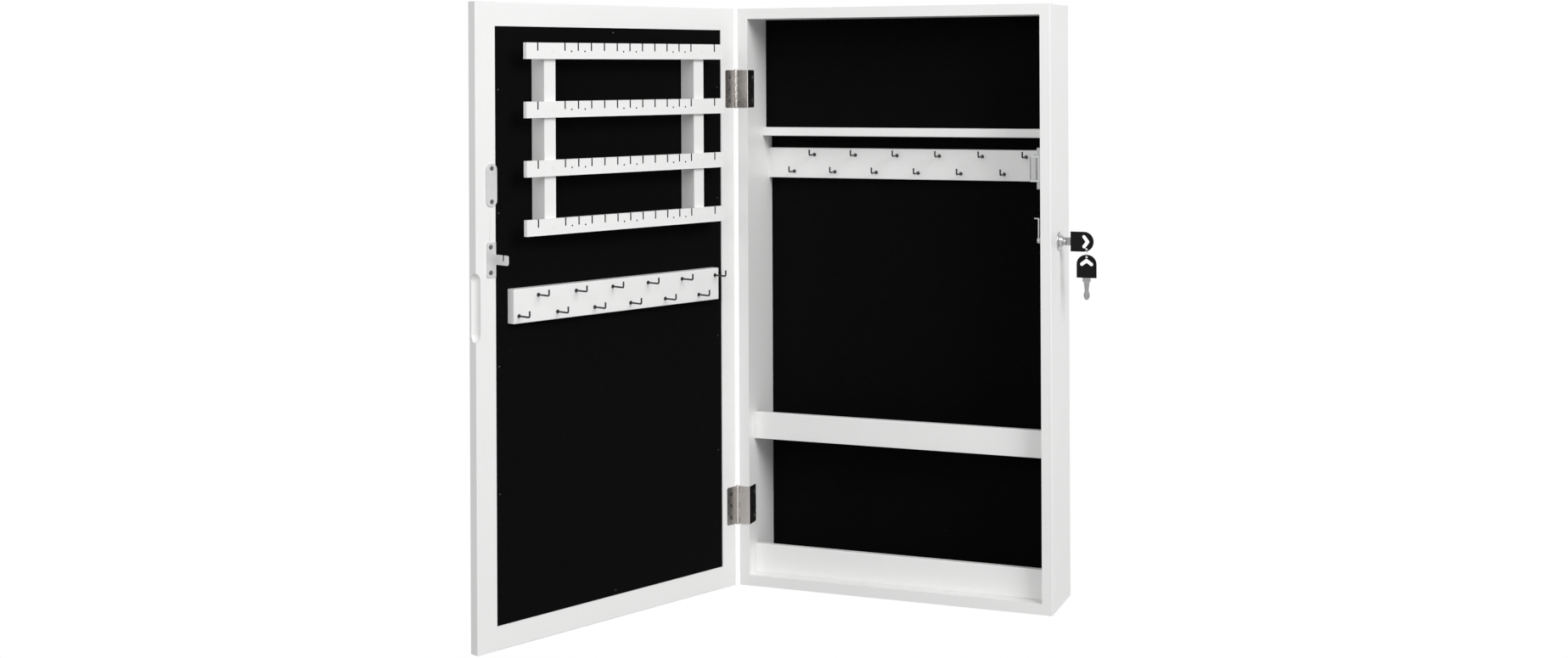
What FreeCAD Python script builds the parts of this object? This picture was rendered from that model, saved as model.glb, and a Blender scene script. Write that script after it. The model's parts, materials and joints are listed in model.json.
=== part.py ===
import FreeCAD, Part
import math
import os
from FreeCAD import Rotation, Vector

# Wall cabinet for jewellery with a mirror on its door, in millimetres.
# Body frame: X to the right, Y from the front edges towards the wall, Z up from the bottom.
# The door is drawn shut in that frame and then turned to the pose in which it stands open.

# Body
body_width = 370.0
body_height = 670.0
body_depth = 88.0
panel_thickness = 12.0
edge_radius = 1.0
main_depth = 76.0             # front edges to the felt of the main compartment
upper_depth = 58.0            # front edges to the felt of the upper compartment
felt_thickness = 0.8
back_board_thickness = 3.0
groove_depth = 5.0
dowel_radius = 3.0
dowel_flutes = 8
dowel_length = 28.0
dowel_bite = 9.0              # how far a dowel enters a side panel
dowel_inset = 20.0            # dowel axis from the front and back edges

# Ledge, trays and hook rail inside the body
ledge_top = 531.0
ledge_thickness = 10.0
ledge_front = 46.5
tray_front = 16.6
tray_lip_thickness = 8.0
tray_base_thickness = 6.0
middle_tray_bottom = 168.2
middle_tray_lip_height = 30.6
bottom_tray_lip_height = 33.2
body_rail_bottom = 470.7
body_rail_height = 35.5
body_rail_thickness = 9.0

# Hooks, the same on the body and on the door
hook_count = 12
hook_pitch = 25.6
hook_row_offset = 10.0        # rows above and below the rail's middle
hook_reach = 18.8
hook_tip_height = 6.6
hook_wire_radius = 0.95
hook_bend_radius = 1.9
hook_collar_radius = 2.1
hook_collar_thickness = 1.0
hook_thread_length = 6.0
small_sides = 8               # flats that stand for the round of a small hole or shank
wire_sides = 6
knuckle_sides = 12
arch_sides = 12
cap_sides = 5
ring_sides = 6
ring_turns = 20               # straight pieces of wire round the ring

# Wall hangers
hanger_drop = 58.0            # round entries below the top
hanger_spacing = 220.0
hanging_rail_drop = 30.0      # rail's upper edge below the top
hanging_rail_height = 62.0
hanger_plate_thickness = 1.5
hanger_plate_width = 20.0
hanger_plate_height = 44.0
hanger_entry_radius = 4.5
hanger_neck_width = 4.6
hanger_neck_rise = 9.0
hanger_pocket_radius = 6.0
hanger_screw_offset = 16.5
hanger_screw_head_radius = 3.2
hanger_screw_head_height = 0.9
hanger_screw_radius = 1.5
hanger_screw_length = 14.0

# Door
door_open_angle = 112.8
door_thickness = 12.0
door_member = 25.0            # free stile and rails, as seen from inside
door_hinge_stile = 20.8
door_border = 30.0            # white border round the mirror
door_lip = 1.5                # front lip that holds the mirror
felt_recess = 1.2
felt_board_thickness = 3.6
mirror_thickness = 3.0
mirror_bevel = 8.0
mirror_bevel_drop = 0.8
groove_radius = 9.0           # finger groove along the free stile's inner corner
groove_beyond_edge = 3.4      # its axis lies this far outside the edge
groove_below_face = 1.4       # and this far below the inner face
groove_straight = 54.6
groove_middle = 355.5
felt_pin_inset = 5.2
felt_pin_radius = 0.9
felt_pin_length = 3.0
felt_pin_heights = (160.5, 292.5, 451.2, 579.1)

# Earring rack and hook rail on the door
rack_middle = 181.8           # from the door's hinged edge
rack_length = 283.6
bar_thickness = 5.0
bar_height = 17.0
bar_top = 627.8
bar_pitch = 61.2
bar_count = 4
slot_pitch = 18.12
slot_width = 1.7
slot_depth = 8.4
stud_drop = 8.8
stud_radius = 0.9
upright_spread = 106.9
upright_width = 15.1
upright_reach = 20.0          # upright's front from the plane of the door's inner face
upright_inset = 3.0           # upright's ends inside the outer bars' edges
rack_screw_radius = 1.4
rack_screw_head_radius = 2.8
rack_screw_head_height = 1.6
rack_screw_length = 15.0
door_rail_bottom = 336.3
door_rail_height = 35.9
door_rail_reach = 9.5
door_rail_length = 294.0

# Hinges
hinge_inset = 93.0            # hinge middle from the body's ends
hinge_height = 43.6
hinge_leaf = 0.8
hinge_play = 0.1
knuckle_radius = 2.25
knuckle_standoff = 0.2        # knuckle clear of the body's side
knuckle_count = 5
knuckle_gap = 0.2
pin_radius = 1.4
pin_play = 0.1
pin_head_radius = 1.9
pin_head_height = 0.9
door_leaf_width = 14.0
body_leaf_depth = 18.5
hinge_screw_offset = 13.6
hinge_screw_inset = 6.3       # screw axis from the leaf's long edge
hinge_screw_radius = 1.3
hinge_screw_head_radius = 2.5
hinge_screw_length = 9.0
leaf_corner_radius = 2.0

# Magnetic catch and its strike plate
catch_middle = 488.8
catch_height = 29.0
catch_ear_height = 46.0
catch_ear_thickness = 4.5
catch_ear_depth = 11.0
catch_reach = 11.8
catch_depth = 16.0
catch_front = 0.9
pole_front = 0.1
pole_thickness = 0.8
pole_spacing = 7.3
pole_height = 24.0
pole_depth = 14.0
pole_inset = 1.5              # poles' middle behind the housing's middle
pocket_margin = 0.15
catch_screw_head_radius = 3.0
catch_screw_head_height = 1.4
catch_screw_radius = 1.4
catch_screw_length = 13.0
strike_width = 13.5
strike_height = 44.8
strike_thickness = 1.5
strike_middle = 481.0
strike_hole_spacing = 34.4
plate_screw_head_radius = 2.5
plate_screw_head_height = 1.1
plate_screw_radius = 1.3
plate_screw_length = 9.0

# Lock, its keeper and the keys
lock_height = 407.0
lock_depth = 37.0
barrel_radius = 8.0
barrel_play = 0.05
flange_radius = 10.5
barrel_sides = 28
flange_thickness = 1.5
flange_chamfer = 0.9
nose_base_radius = 7.2
nose_tip_radius = 5.8
nose_length = 3.6
plug_radius = 4.5
plug_play = 0.05
plug_proud = 8.5              # plug's face beyond the side panel
barrel_length = 20.2
nut_thickness = 3.5
nut_flats = 21.0
plug_square = 5.6
square_play = 0.05
cam_thickness = 1.5
cam_width = 8.6
cam_reach = 25.4
cam_standoff = 1.0
cam_tab_length = 4.6
cam_tab_width = 4.6
cam_screw_head_radius = 3.6
cam_screw_head_height = 1.6
cam_screw_radius = 1.5
cam_screw_length = 6.0
cam_screw_dome = 0.8
keeper_thickness = 1.2
keeper_width = 11.4
keeper_height = 36.2
keeper_middle = 404.0
keeper_tongue_reach = 22.4
keeper_tongue_height = 10.4
keeper_tongue_inset = 24.7    # tongue's outer face from the door's free edge
keeper_hole_spacing = 26.4
keeper_hole_inset = 6.8       # screw axis from the tongue's outer face
keeper_notch_width = 3.4
keeper_notch_depth = 6.2
keeper_notch_middle = 14.0
key_bow_start = 13.3          # key one's bow beyond the side panel
key_bow_length = 25.6
key_bow_width = 22.0
key_bow_shoulder = 15.0
key_bow_thickness = 2.4
key_rim = 1.8
key_rim_height = 0.35
key_hole_radius = 1.3
key_hole_inset = 2.6
key_window_radius = 2.0
key_window_drop = 6.6         # apex of the window below the arch's top
key_window_fall = 4.0         # its feet below the apex
key_window_half_width = 5.4
key_blade_thickness = 1.8
key_shoulder_width = 8.7
key_shoulder_length = 4.4
key_stem_width = 6.4
key_taper_length = 8.0
key_neck_width = 4.4
key_neck_length = 1.4
key_tip_width = 6.5
key_tip_length = 10.6
keyway_play = 0.12
keyway_end_play = 1.0
ring_standoff = 31.0          # ring's plane beyond the side panel
ring_radius = 4.2
ring_wire_radius = 0.5

# Worked out from the sizes above
door_gap = 2 * hinge_leaf + hinge_play
inner_left = panel_thickness
inner_right = body_width - panel_thickness
inner_top = body_height - panel_thickness
inner_width = inner_right - inner_left
back_board_front = main_depth + felt_thickness
back_board_back = back_board_front + back_board_thickness
door_back = -door_gap         # plane of the door's inner face when shut
door_front = door_back - door_thickness
felt_face = door_back - felt_recess
felt_left = door_hinge_stile
felt_right = body_width - door_member
hanger_height = body_height - hanger_drop
hanging_rail_bottom = body_height - hanging_rail_drop - hanging_rail_height
ring_x = body_width + ring_standoff
backing_thickness = door_thickness - felt_recess - felt_board_thickness - mirror_thickness - door_lip
hinge_axis = Vector(-(knuckle_radius + knuckle_standoff), -door_gap / 2, 0)
lock_axis = Vector(0, lock_depth, lock_height)
origin = Vector(body_width / 2, body_depth, hanger_height)

tiny = 1e-6
right = Vector(1, 0, 0)
back = Vector(0, 1, 0)
up = Vector(0, 0, 1)


def block(x0, x1, y0, y1, z0, z1):
    """Box between three pairs of limits."""
    return Part.makeBox(x1 - x0, y1 - y0, z1 - z0, Vector(x0, y0, z0))


def rod(radius, length, start, direction):
    return Part.makeCylinder(radius, length, start, direction)


def corners(radius, centre, direction, sides):
    """Corners of a regular outline square to a direction."""
    across = direction.cross(right if abs(direction.z) > 0.5 else up).normalize()
    other = direction.cross(across)
    turns = [2 * math.pi * i / sides for i in range(sides)]
    return [centre + across * (radius * math.cos(t)) + other * (radius * math.sin(t)) for t in turns]


def facet(points):
    return Part.Face(Part.makePolygon(list(points) + [points[0]]))


def between(one, other):
    """Flat facets that join two outlines, corner to corner."""
    count = len(one)
    return [facet([one[i], one[(i + 1) % count], other[(i + 1) % count], other[i]]) for i in range(count)]


def closed(facets):
    """Solid inside a closed set of facets."""
    solid = Part.Solid(Part.makeShell(facets))
    return solid if solid.Volume > 0 else solid.reversed()


def turned(stations, start, direction, sides):
    """Turned piece drawn with flats, from (distance, radius) pairs along its axis."""
    rims = [corners(radius, start + direction * far, direction, sides) for far, radius in stations]
    sleeves = [f for one, other in zip(rims, rims[1:]) for f in between(one, other)]
    return closed(sleeves + [facet(rims[0]), facet(rims[-1])])


def small_rod(radius, length, start, direction, sides=small_sides):
    """Slim shank or drilled hole, drawn with few flats."""
    return facet(corners(radius, start, direction, sides)).extrude(direction * length)


def prism(points, direction, length):
    """Closed outline of straight lines, pushed along a direction."""
    return facet(points).extrude(direction * length)


def round_edges(shape, radius, wanted):
    """Fillet the edges whose middle passes the test."""
    edges = [e for e in shape.Edges if wanted(e)]
    return shape.makeFillet(radius, edges) if edges else shape


def clip_edges(shape, size, wanted):
    return shape.makeChamfer(size, [e for e in shape.Edges if wanted(e)])


def edge_middle(edge):
    return edge.valueAt((edge.FirstParameter + edge.LastParameter) / 2)


def runs_along(edge, axis):
    span = edge.valueAt(edge.LastParameter) - edge.valueAt(edge.FirstParameter)
    return abs(abs(span.normalize().dot(axis)) - 1) < tiny


def screw(head, inward, head_radius, head_height, shank_radius, length):
    """Countersunk screw: its flat head lies at the point head and it runs inward."""
    stations = [(0, head_radius), (head_height, shank_radius), (length, shank_radius)]
    return turned(stations, head, inward, small_sides)


def group(shapes):
    return Part.Compound(list(shapes))


# Body panels

def dowel_places():
    """Start point and direction of each dowel that joins a side to the top or bottom."""
    places = []
    for z in (panel_thickness / 2, body_height - panel_thickness / 2):
        for y in (dowel_inset, body_depth - dowel_inset):
            places.append((Vector(inner_left - dowel_bite, y, z), right))
            places.append((Vector(inner_right + dowel_bite, y, z), right * -1))
    return places


def dowels():
    return [small_rod(dowel_radius, dowel_length, start, way, dowel_flutes) for start, way in dowel_places()]


def back_board():
    return block(inner_left - groove_depth, inner_right + groove_depth,
                 back_board_front, back_board_back,
                 panel_thickness - groove_depth, ledge_top)


def side_panel(outer_x, inner_x):
    x0, x1 = min(outer_x, inner_x), max(outer_x, inner_x)
    panel = block(x0, x1, 0, body_depth, 0, body_height)
    panel = round_edges(panel, edge_radius, lambda e: abs(edge_middle(e).x - outer_x) < tiny)
    panel = panel.cut(back_board())
    for dowel in dowels():
        panel = panel.cut(dowel)
    return panel


def left_panel():
    panel = side_panel(0, inner_left)
    return cut_all(panel, body_hinge_pilots())


def right_panel():
    panel = side_panel(body_width, inner_right)
    bore = rod(barrel_radius + barrel_play, panel_thickness, Vector(inner_right, 0, 0) + lock_axis, right)
    return cut_all(panel.cut(bore), catch_screws())


def level_panel(bottom):
    panel = block(inner_left, inner_right, 0, body_depth, bottom, bottom + panel_thickness)
    panel = panel.cut(back_board())
    return cut_all(panel, dowels())


def cut_all(shape, tools):
    for tool in tools:
        shape = shape.cut(tool)
    return shape


def main_felt():
    return block(inner_left, inner_right, main_depth, back_board_front,
                 panel_thickness, ledge_top - ledge_thickness)


def upper_back_panel():
    return block(inner_left, inner_right, upper_depth, upper_depth + back_board_thickness + felt_thickness,
                 ledge_top, inner_top)


def ledge():
    shelf = block(inner_left, inner_right, ledge_front, back_board_front,
                  ledge_top - ledge_thickness, ledge_top)
    return round_edges(shelf, edge_radius,
                       lambda e: runs_along(e, right) and abs(edge_middle(e).y - ledge_front) < tiny)


def tray_lip(bottom, height):
    top = bottom + height
    lip = block(inner_left, inner_right, tray_front, tray_front + tray_lip_thickness, bottom, top)
    return round_edges(lip, edge_radius,
                       lambda e: runs_along(e, right) and abs(edge_middle(e).z - top) < tiny)


def middle_tray_base():
    return block(inner_left, inner_right, tray_front + tray_lip_thickness, main_depth,
                 middle_tray_bottom, middle_tray_bottom + tray_base_thickness)


def tray_felts():
    floors = (panel_thickness, middle_tray_bottom + tray_base_thickness)
    return [block(inner_left, inner_right, tray_front + tray_lip_thickness, main_depth, z, z + felt_thickness)
            for z in floors]


# Wall hangers

def hanger_columns():
    middle = body_width / 2
    return (middle - hanger_spacing / 2, middle + hanger_spacing / 2)


def hanger_plate(x):
    """Steel plate with a keyhole: a round entry and a narrow neck above it."""
    y0 = body_depth - hanger_plate_thickness
    middle_z = hanger_height + hanger_neck_rise / 2
    plate = block(x - hanger_plate_width / 2, x + hanger_plate_width / 2, y0, body_depth,
                  middle_z - hanger_plate_height / 2, middle_z + hanger_plate_height / 2)
    plate = clip_edges(plate, leaf_corner_radius, lambda e: runs_along(e, back))
    entry = rod(hanger_entry_radius, hanger_plate_thickness, Vector(x, y0, hanger_height), back)
    neck_top = Vector(x, y0, hanger_height + hanger_neck_rise)
    neck = rod(hanger_neck_width / 2, hanger_plate_thickness, neck_top, back)
    slot = block(x - hanger_neck_width / 2, x + hanger_neck_width / 2, y0, body_depth,
                 hanger_height, hanger_height + hanger_neck_rise)
    return cut_all(plate, [entry, neck, slot] + hanger_screws(x))


def hanger_screws(x):
    head = hanger_screw_head_height
    return [screw(Vector(x, body_depth, hanger_height + hanger_neck_rise / 2 + side * hanger_screw_offset),
                  back * -1, hanger_screw_head_radius, head, hanger_screw_radius, hanger_screw_length)
            for side in (-1, 1)]


def hanging_rail():
    """Softwood strip behind the upper compartment, with a pocket behind each keyhole."""
    y0 = upper_depth + back_board_thickness + felt_thickness
    y1 = body_depth - hanger_plate_thickness
    rail = block(inner_left, inner_right, y0, y1,
                 hanging_rail_bottom, hanging_rail_bottom + hanging_rail_height)
    for x in hanger_columns():
        for z in (hanger_height, hanger_height + hanger_neck_rise):
            rail = rail.cut(small_rod(hanger_pocket_radius, y1 - y0, Vector(x, y0, z), back, knuckle_sides))
        rail = rail.cut(block(x - hanger_pocket_radius, x + hanger_pocket_radius, y0, y1,
                              hanger_height, hanger_height + hanger_neck_rise))
        rail = cut_all(rail, hanger_screws(x))
    return rail


# Hooks and their rails

def hook():
    """Square hook with a collar: seat at the origin, reaching along +Y, tip up."""
    bend = hook_bend_radius
    run = hook_reach - hook_wire_radius - bend
    stops = [Vector(0, -hook_thread_length, 0), Vector(0, run, 0),
             Vector(0, run + bend, bend), Vector(0, run + bend, hook_tip_height)]
    rim = corners(hook_wire_radius, stops[0], back, wire_sides)
    outline = Part.makePolygon(rim + [rim[0]])
    wire = Part.makePolygon(stops).makePipeShell([outline], True, False, 1)
    collar = small_rod(hook_collar_radius, hook_collar_thickness, Vector(0, 0, 0), back, wire_sides)
    return wire.fuse(collar).removeSplitter()


def hook_seats(first, middle_z, lower_first):
    """Hook places along a rail, in turn below and above its middle."""
    seats = []
    for i in range(hook_count):
        below = (i % 2 == 0) == lower_first
        seats.append(Vector(first + i * hook_pitch, 0, middle_z + (-1 if below else 1) * hook_row_offset))
    return seats


def body_hook_seats():
    first = body_width / 2 - (hook_count - 1) / 2 * hook_pitch
    return hook_seats(first, body_rail_bottom + body_rail_height / 2, True)


def door_hook_seats():
    first = rack_middle - (hook_count - 1) / 2 * hook_pitch
    return hook_seats(first, door_rail_bottom + door_rail_height / 2, False)


def body_hooks():
    """Hooks of the body's rail point forward, so each is turned half round."""
    front = main_depth - body_rail_thickness
    hooks = []
    for seat in body_hook_seats():
        one = hook()
        one.rotate(Vector(0, 0, 0), up, 180)
        one.translate(Vector(seat.x, front, seat.z))
        hooks.append(one)
    return hooks


def door_hooks():
    hooks = []
    for seat in door_hook_seats():
        one = hook()
        one.translate(Vector(seat.x, door_back + door_rail_reach, seat.z))
        hooks.append(one)
    return hooks


def hook_holes(seats, front, way):
    """Pilot holes that the hooks' threaded ends fill."""
    starts = [Vector(seat.x, front, seat.z) for seat in seats]
    return [small_rod(hook_wire_radius, hook_thread_length, start, way, wire_sides) for start in starts]


def body_hook_rail():
    front = main_depth - body_rail_thickness
    rail = block(inner_left, inner_right, front, main_depth,
                 body_rail_bottom, body_rail_bottom + body_rail_height)
    rail = round_edges(rail, edge_radius,
                       lambda e: runs_along(e, right) and abs(edge_middle(e).y - front) < tiny)
    return cut_all(rail, hook_holes(body_hook_seats(), front, back))


def door_hook_rail():
    front = door_back + door_rail_reach
    x0 = rack_middle - door_rail_length / 2
    rail = block(x0, x0 + door_rail_length, felt_face, front,
                 door_rail_bottom, door_rail_bottom + door_rail_height)
    rail = round_edges(rail, edge_radius, lambda e: abs(edge_middle(e).y - front) < tiny)
    return cut_all(rail, hook_holes(door_hook_seats(), front, back * -1))


# Hinges

def hinge_middles():
    return (hinge_inset, body_height - hinge_inset)


def knuckles(middle_z, own):
    """Rolled barrel segments of one leaf; own is 0 for the body's leaf and 1 for the door's."""
    step = hinge_height / knuckle_count
    bottom = middle_z - hinge_height / 2
    leaf_y = -hinge_leaf if own == 0 else door_back
    solids = []
    for i in range(own, knuckle_count, 2):
        z0 = bottom + i * step + (knuckle_gap / 2 if i else 0)
        z1 = bottom + (i + 1) * step - (knuckle_gap / 2 if i < knuckle_count - 1 else 0)
        barrel = small_rod(knuckle_radius, z1 - z0, hinge_axis + up * z0, up, knuckle_sides)
        tab = block(hinge_axis.x, 0, leaf_y, leaf_y + hinge_leaf, z0, z1)
        hole = small_rod(pin_radius + pin_play, z1 - z0, hinge_axis + up * z0, up, knuckle_sides)
        solids.append(barrel.fuse(tab).cut(hole))
    return solids


def leaf_screw(x, y, z, inward):
    return screw(Vector(x, y, z), inward, hinge_screw_head_radius, hinge_leaf, hinge_screw_radius,
                 hinge_screw_length)


def body_leaf_screws(middle_z):
    """Screws through the wrapped flange into the side panel's inner face."""
    y = body_leaf_depth - hinge_screw_inset
    return [leaf_screw(inner_left + hinge_leaf, y, middle_z + side * hinge_screw_offset, right * -1)
            for side in (-1, 1)]


def body_hinge_pilots():
    return [s for middle_z in hinge_middles() for s in body_leaf_screws(middle_z)]


def body_leaf(middle_z):
    """Leaf that crosses the side panel's front edge and wraps onto its inner face."""
    z0, z1 = middle_z - hinge_height / 2, middle_z + hinge_height / 2
    plate = block(0, inner_left + hinge_leaf, -hinge_leaf, 0, z0, z1)
    flange = block(inner_left, inner_left + hinge_leaf, 0, body_leaf_depth, z0, z1)
    flange = round_edges(flange, leaf_corner_radius,
                         lambda e: runs_along(e, right) and abs(edge_middle(e).y - body_leaf_depth) < tiny)
    leaf = plate.fuse([flange] + knuckles(middle_z, 0)).removeSplitter()
    bend_x, bend_y = inner_left + hinge_leaf, -hinge_leaf
    leaf = round_edges(leaf, hinge_leaf, lambda e: runs_along(e, up)
                       and abs(edge_middle(e).x - bend_x) < tiny and abs(edge_middle(e).y - bend_y) < tiny)
    return cut_all(leaf, body_leaf_screws(middle_z))


def door_leaf_screws(middle_z):
    x = door_leaf_width - hinge_screw_inset
    return [leaf_screw(x, door_back + hinge_leaf, middle_z + side * hinge_screw_offset, back * -1)
            for side in (-1, 0, 1)]


def door_leaf(middle_z):
    z0, z1 = middle_z - hinge_height / 2, middle_z + hinge_height / 2
    plate = block(0, door_leaf_width, door_back, door_back + hinge_leaf, z0, z1)
    plate = round_edges(plate, leaf_corner_radius,
                        lambda e: runs_along(e, back) and abs(edge_middle(e).x - door_leaf_width) < tiny)
    leaf = plate.fuse(knuckles(middle_z, 1)).removeSplitter()
    return cut_all(leaf, door_leaf_screws(middle_z))


def hinge_pin(middle_z):
    start = hinge_axis + up * (middle_z - hinge_height / 2 - pin_head_height)
    far = pin_head_height + hinge_height
    stations = [(0, pin_head_radius), (pin_head_height, pin_head_radius), (pin_head_height, pin_radius),
                (far, pin_radius), (far, pin_head_radius), (far + pin_head_height, pin_head_radius)]
    return turned(stations, start, up, knuckle_sides)


# Magnetic catch

def pole_columns():
    middle = inner_right - catch_reach / 2 - pole_inset
    return (middle - pole_spacing / 2, middle + pole_spacing / 2)


def pole_plate(x):
    return block(x - pole_thickness / 2, x + pole_thickness / 2, pole_front, pole_front + pole_depth,
                 catch_middle - pole_height / 2, catch_middle + pole_height / 2)


def catch_magnet():
    left_pole, right_pole = pole_columns()
    return block(left_pole + pole_thickness / 2, right_pole - pole_thickness / 2,
                 catch_front, pole_front + pole_depth,
                 catch_middle - pole_height / 2, catch_middle + pole_height / 2)


def catch_screws():
    x = inner_right - catch_ear_thickness
    y = catch_front + catch_depth / 2
    offset = (catch_height + catch_ear_height) / 4
    return [screw(Vector(x, y, catch_middle + side * offset), right, catch_screw_head_radius,
                  catch_screw_head_height, catch_screw_radius, catch_screw_length) for side in (-1, 1)]


def catch_housing():
    """Moulded housing: a box with a pocket for the magnet and an ear at each end."""
    x0 = inner_right - catch_reach
    box = block(x0, inner_right, catch_front, catch_front + catch_depth,
                catch_middle - catch_height / 2, catch_middle + catch_height / 2)
    box = round_edges(box, edge_radius, lambda e: abs(edge_middle(e).x - x0) < tiny)
    ear_y = catch_front + (catch_depth - catch_ear_depth) / 2
    ear = block(inner_right - catch_ear_thickness, inner_right, ear_y, ear_y + catch_ear_depth,
                catch_middle - catch_ear_height / 2, catch_middle + catch_ear_height / 2)
    ear = round_edges(ear, leaf_corner_radius, lambda e: runs_along(e, right))
    left_pole, right_pole = pole_columns()
    side = pole_thickness / 2 + pocket_margin
    end = pole_height / 2 + pocket_margin
    pocket = block(left_pole - side, right_pole + side, catch_front, pole_front + pole_depth,
                   catch_middle - end, catch_middle + end)
    return cut_all(box.fuse(ear).removeSplitter().cut(pocket), catch_screws())


# Lock in the side panel

def lock_barrel():
    """Barrel through the panel, with a flange and a tapered nose outside."""
    start = Vector(body_width - barrel_length, 0, 0) + lock_axis
    face = barrel_length + flange_thickness
    stations = [(0, barrel_radius), (barrel_length, barrel_radius), (barrel_length, flange_radius),
                (face - flange_chamfer, flange_radius), (face, flange_radius - flange_chamfer),
                (face, nose_base_radius), (face + nose_length, nose_tip_radius)]
    bore = rod(plug_radius + plug_play, face + nose_length, start, right)
    return turned(stations, start, right, barrel_sides).cut(bore)


def lock_nut():
    """Hexagon nut that holds the barrel from inside."""
    start = Vector(inner_right - nut_thickness, 0, 0) + lock_axis
    corner = nut_flats / math.sqrt(3)
    nut = small_rod(corner, nut_thickness, start, right, 6)
    return nut.cut(rod(barrel_radius + barrel_play, nut_thickness, start, right))


def square_bar(side, x0, x1):
    half = side / 2
    return block(x0, x1, lock_depth - half, lock_depth + half, lock_height - half, lock_height + half)


def cam_faces():
    """The cam's two faces along the lock's axis, the inner one first."""
    outer = body_width - barrel_length - cam_standoff
    return outer - cam_thickness, outer


def cam_screw():
    """Pan head on the cam's inner face, its shank in the plug."""
    head, dome = cam_screw_head_height, cam_screw_dome
    start = Vector(cam_faces()[0] - head, 0, 0) + lock_axis
    stations = [(0, cam_screw_head_radius - dome), (dome, cam_screw_head_radius),
                (head, cam_screw_head_radius), (head, cam_screw_radius),
                (head + cam_screw_length, cam_screw_radius)]
    return turned(stations, start, right, knuckle_sides)


def lock_plug():
    """Turning plug with a keyway, squared behind for the cam."""
    inner, outer = cam_faces()
    front = body_width + plug_proud
    cylinder = rod(plug_radius, front - outer, Vector(outer, 0, 0) + lock_axis, right)
    plug = cylinder.fuse(square_bar(plug_square, inner, outer)).removeSplitter()
    keyway_end = body_width + key_bow_start - key_blade_length() - keyway_end_play
    side = key_blade_thickness / 2 + keyway_play
    edge = key_tip_width / 2 + keyway_play
    keyway = block(keyway_end, front, lock_depth - side, lock_depth + side,
                   lock_height - edge, lock_height + edge)
    return plug.cut(keyway).cut(cam_screw())


def lock_cam():
    """Flat lever pointing up while unlocked, with a tab bent inwards at its tip."""
    inner, outer = cam_faces()
    half = cam_width / 2
    arm = block(inner, outer, lock_depth - half, lock_depth + half, lock_height, lock_height + cam_reach)
    arm = round_edges(arm, leaf_corner_radius, lambda e: runs_along(e, right)
                      and abs(edge_middle(e).z - lock_height - cam_reach) < tiny)
    eye = rod(half, cam_thickness, Vector(inner, 0, 0) + lock_axis, right)
    tab = block(inner - cam_tab_length, inner, lock_depth - cam_tab_width / 2, lock_depth + cam_tab_width / 2,
                lock_height + cam_reach - cam_thickness, lock_height + cam_reach)
    hole = square_bar(plug_square + 2 * square_play, inner, outer)
    return arm.fuse([eye, tab]).removeSplitter().cut(hole)


# Keys and ring

def key_blade_length():
    return key_shoulder_length + key_taper_length + key_neck_length + key_tip_length


def key_blade():
    """Flat blade in the plane Y = 0: it starts at the origin and points down -Z."""
    shoulder = -key_shoulder_length
    taper = shoulder - key_taper_length
    neck = taper - key_neck_length
    points = [(key_shoulder_width, 0), (key_shoulder_width, shoulder), (key_stem_width, shoulder),
              (key_neck_width, taper), (key_neck_width, neck - 1)]
    rim = [Vector(w / 2, 0, z) for w, z in points] + [Vector(-w / 2, 0, z) for w, z in reversed(points)]
    stem = Part.Face(Part.makePolygon(rim + [rim[0]]))
    tip_centre = Vector(0, 0, neck - key_tip_length / 2)
    ellipse = Part.Ellipse(tip_centre + up * (key_tip_length / 2), tip_centre + right * (key_tip_width / 2),
                           tip_centre)
    tip = Part.Face(Part.Wire(ellipse.toShape()))
    flat = stem.fuse(tip).removeSplitter()
    blade = flat.extrude(back * key_blade_thickness)
    blade.translate(back * (-key_blade_thickness / 2))
    return blade


def key_bow_outline(inset):
    """Bow outline in the plane Y = 0, straight below and arched above, pulled in by inset."""
    half = key_bow_width / 2 - inset
    rise = key_bow_length - inset - key_bow_shoulder
    turns = [math.pi * i / arch_sides for i in range(arch_sides + 1)]
    arch = [Vector(half * math.cos(t), 0, key_bow_shoulder + rise * math.sin(t)) for t in turns]
    return facet([Vector(-half, 0, inset), Vector(half, 0, inset)] + arch)


def key_window(thickness):
    """Rounded chevron cut through the bow below its arch."""
    apex_z = key_bow_length - key_window_drop
    foot_z = apex_z - key_window_fall
    lean = math.atan2(key_window_fall, key_window_half_width)
    notch_z = apex_z - key_window_radius / math.cos(lean)
    radius = key_window_radius
    turns = [math.pi * i / cap_sides for i in range(cap_sides + 1)]
    crown = [math.pi / 2 - lean + 2 * lean * i / 2 for i in range(3)]
    points = [(key_window_half_width + radius * math.cos(-math.pi / 2 - lean + t),
               foot_z + radius * math.sin(-math.pi / 2 - lean + t)) for t in turns]
    points += [(radius * math.cos(t), apex_z + radius * math.sin(t)) for t in crown]
    points += [(radius * math.cos(math.pi / 2 + lean + t) - key_window_half_width,
                foot_z + radius * math.sin(math.pi / 2 + lean + t)) for t in turns]
    points.append((0, notch_z))
    return prism([Vector(x, -thickness, z) for x, z in points], back, 2 * thickness)


def key_bow(hole_x, hole_z):
    """Moulded bow with a raised rim; foot at the origin, arch towards +Z."""
    thickness = key_bow_thickness
    bow = key_bow_outline(0).extrude(back * thickness)
    bow.translate(back * (-thickness / 2))
    for side in (-1, 1):
        panel = key_bow_outline(key_rim).extrude(back * key_rim_height)
        panel.translate(back * (thickness / 2 - key_rim_height if side > 0 else -thickness / 2))
        bow = bow.cut(panel)
    bow = bow.cut(key_window(thickness))
    hole = small_rod(key_hole_radius, 2 * thickness, Vector(hole_x, -thickness, hole_z), back)
    return bow.cut(hole)


def place_key_one(shape):
    """Key one lies level in the plug: its arch points away from the panel."""
    shape.rotate(Vector(0, 0, 0), back, 90)
    shape.translate(Vector(body_width + key_bow_start, lock_depth, lock_height))
    return shape


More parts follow.
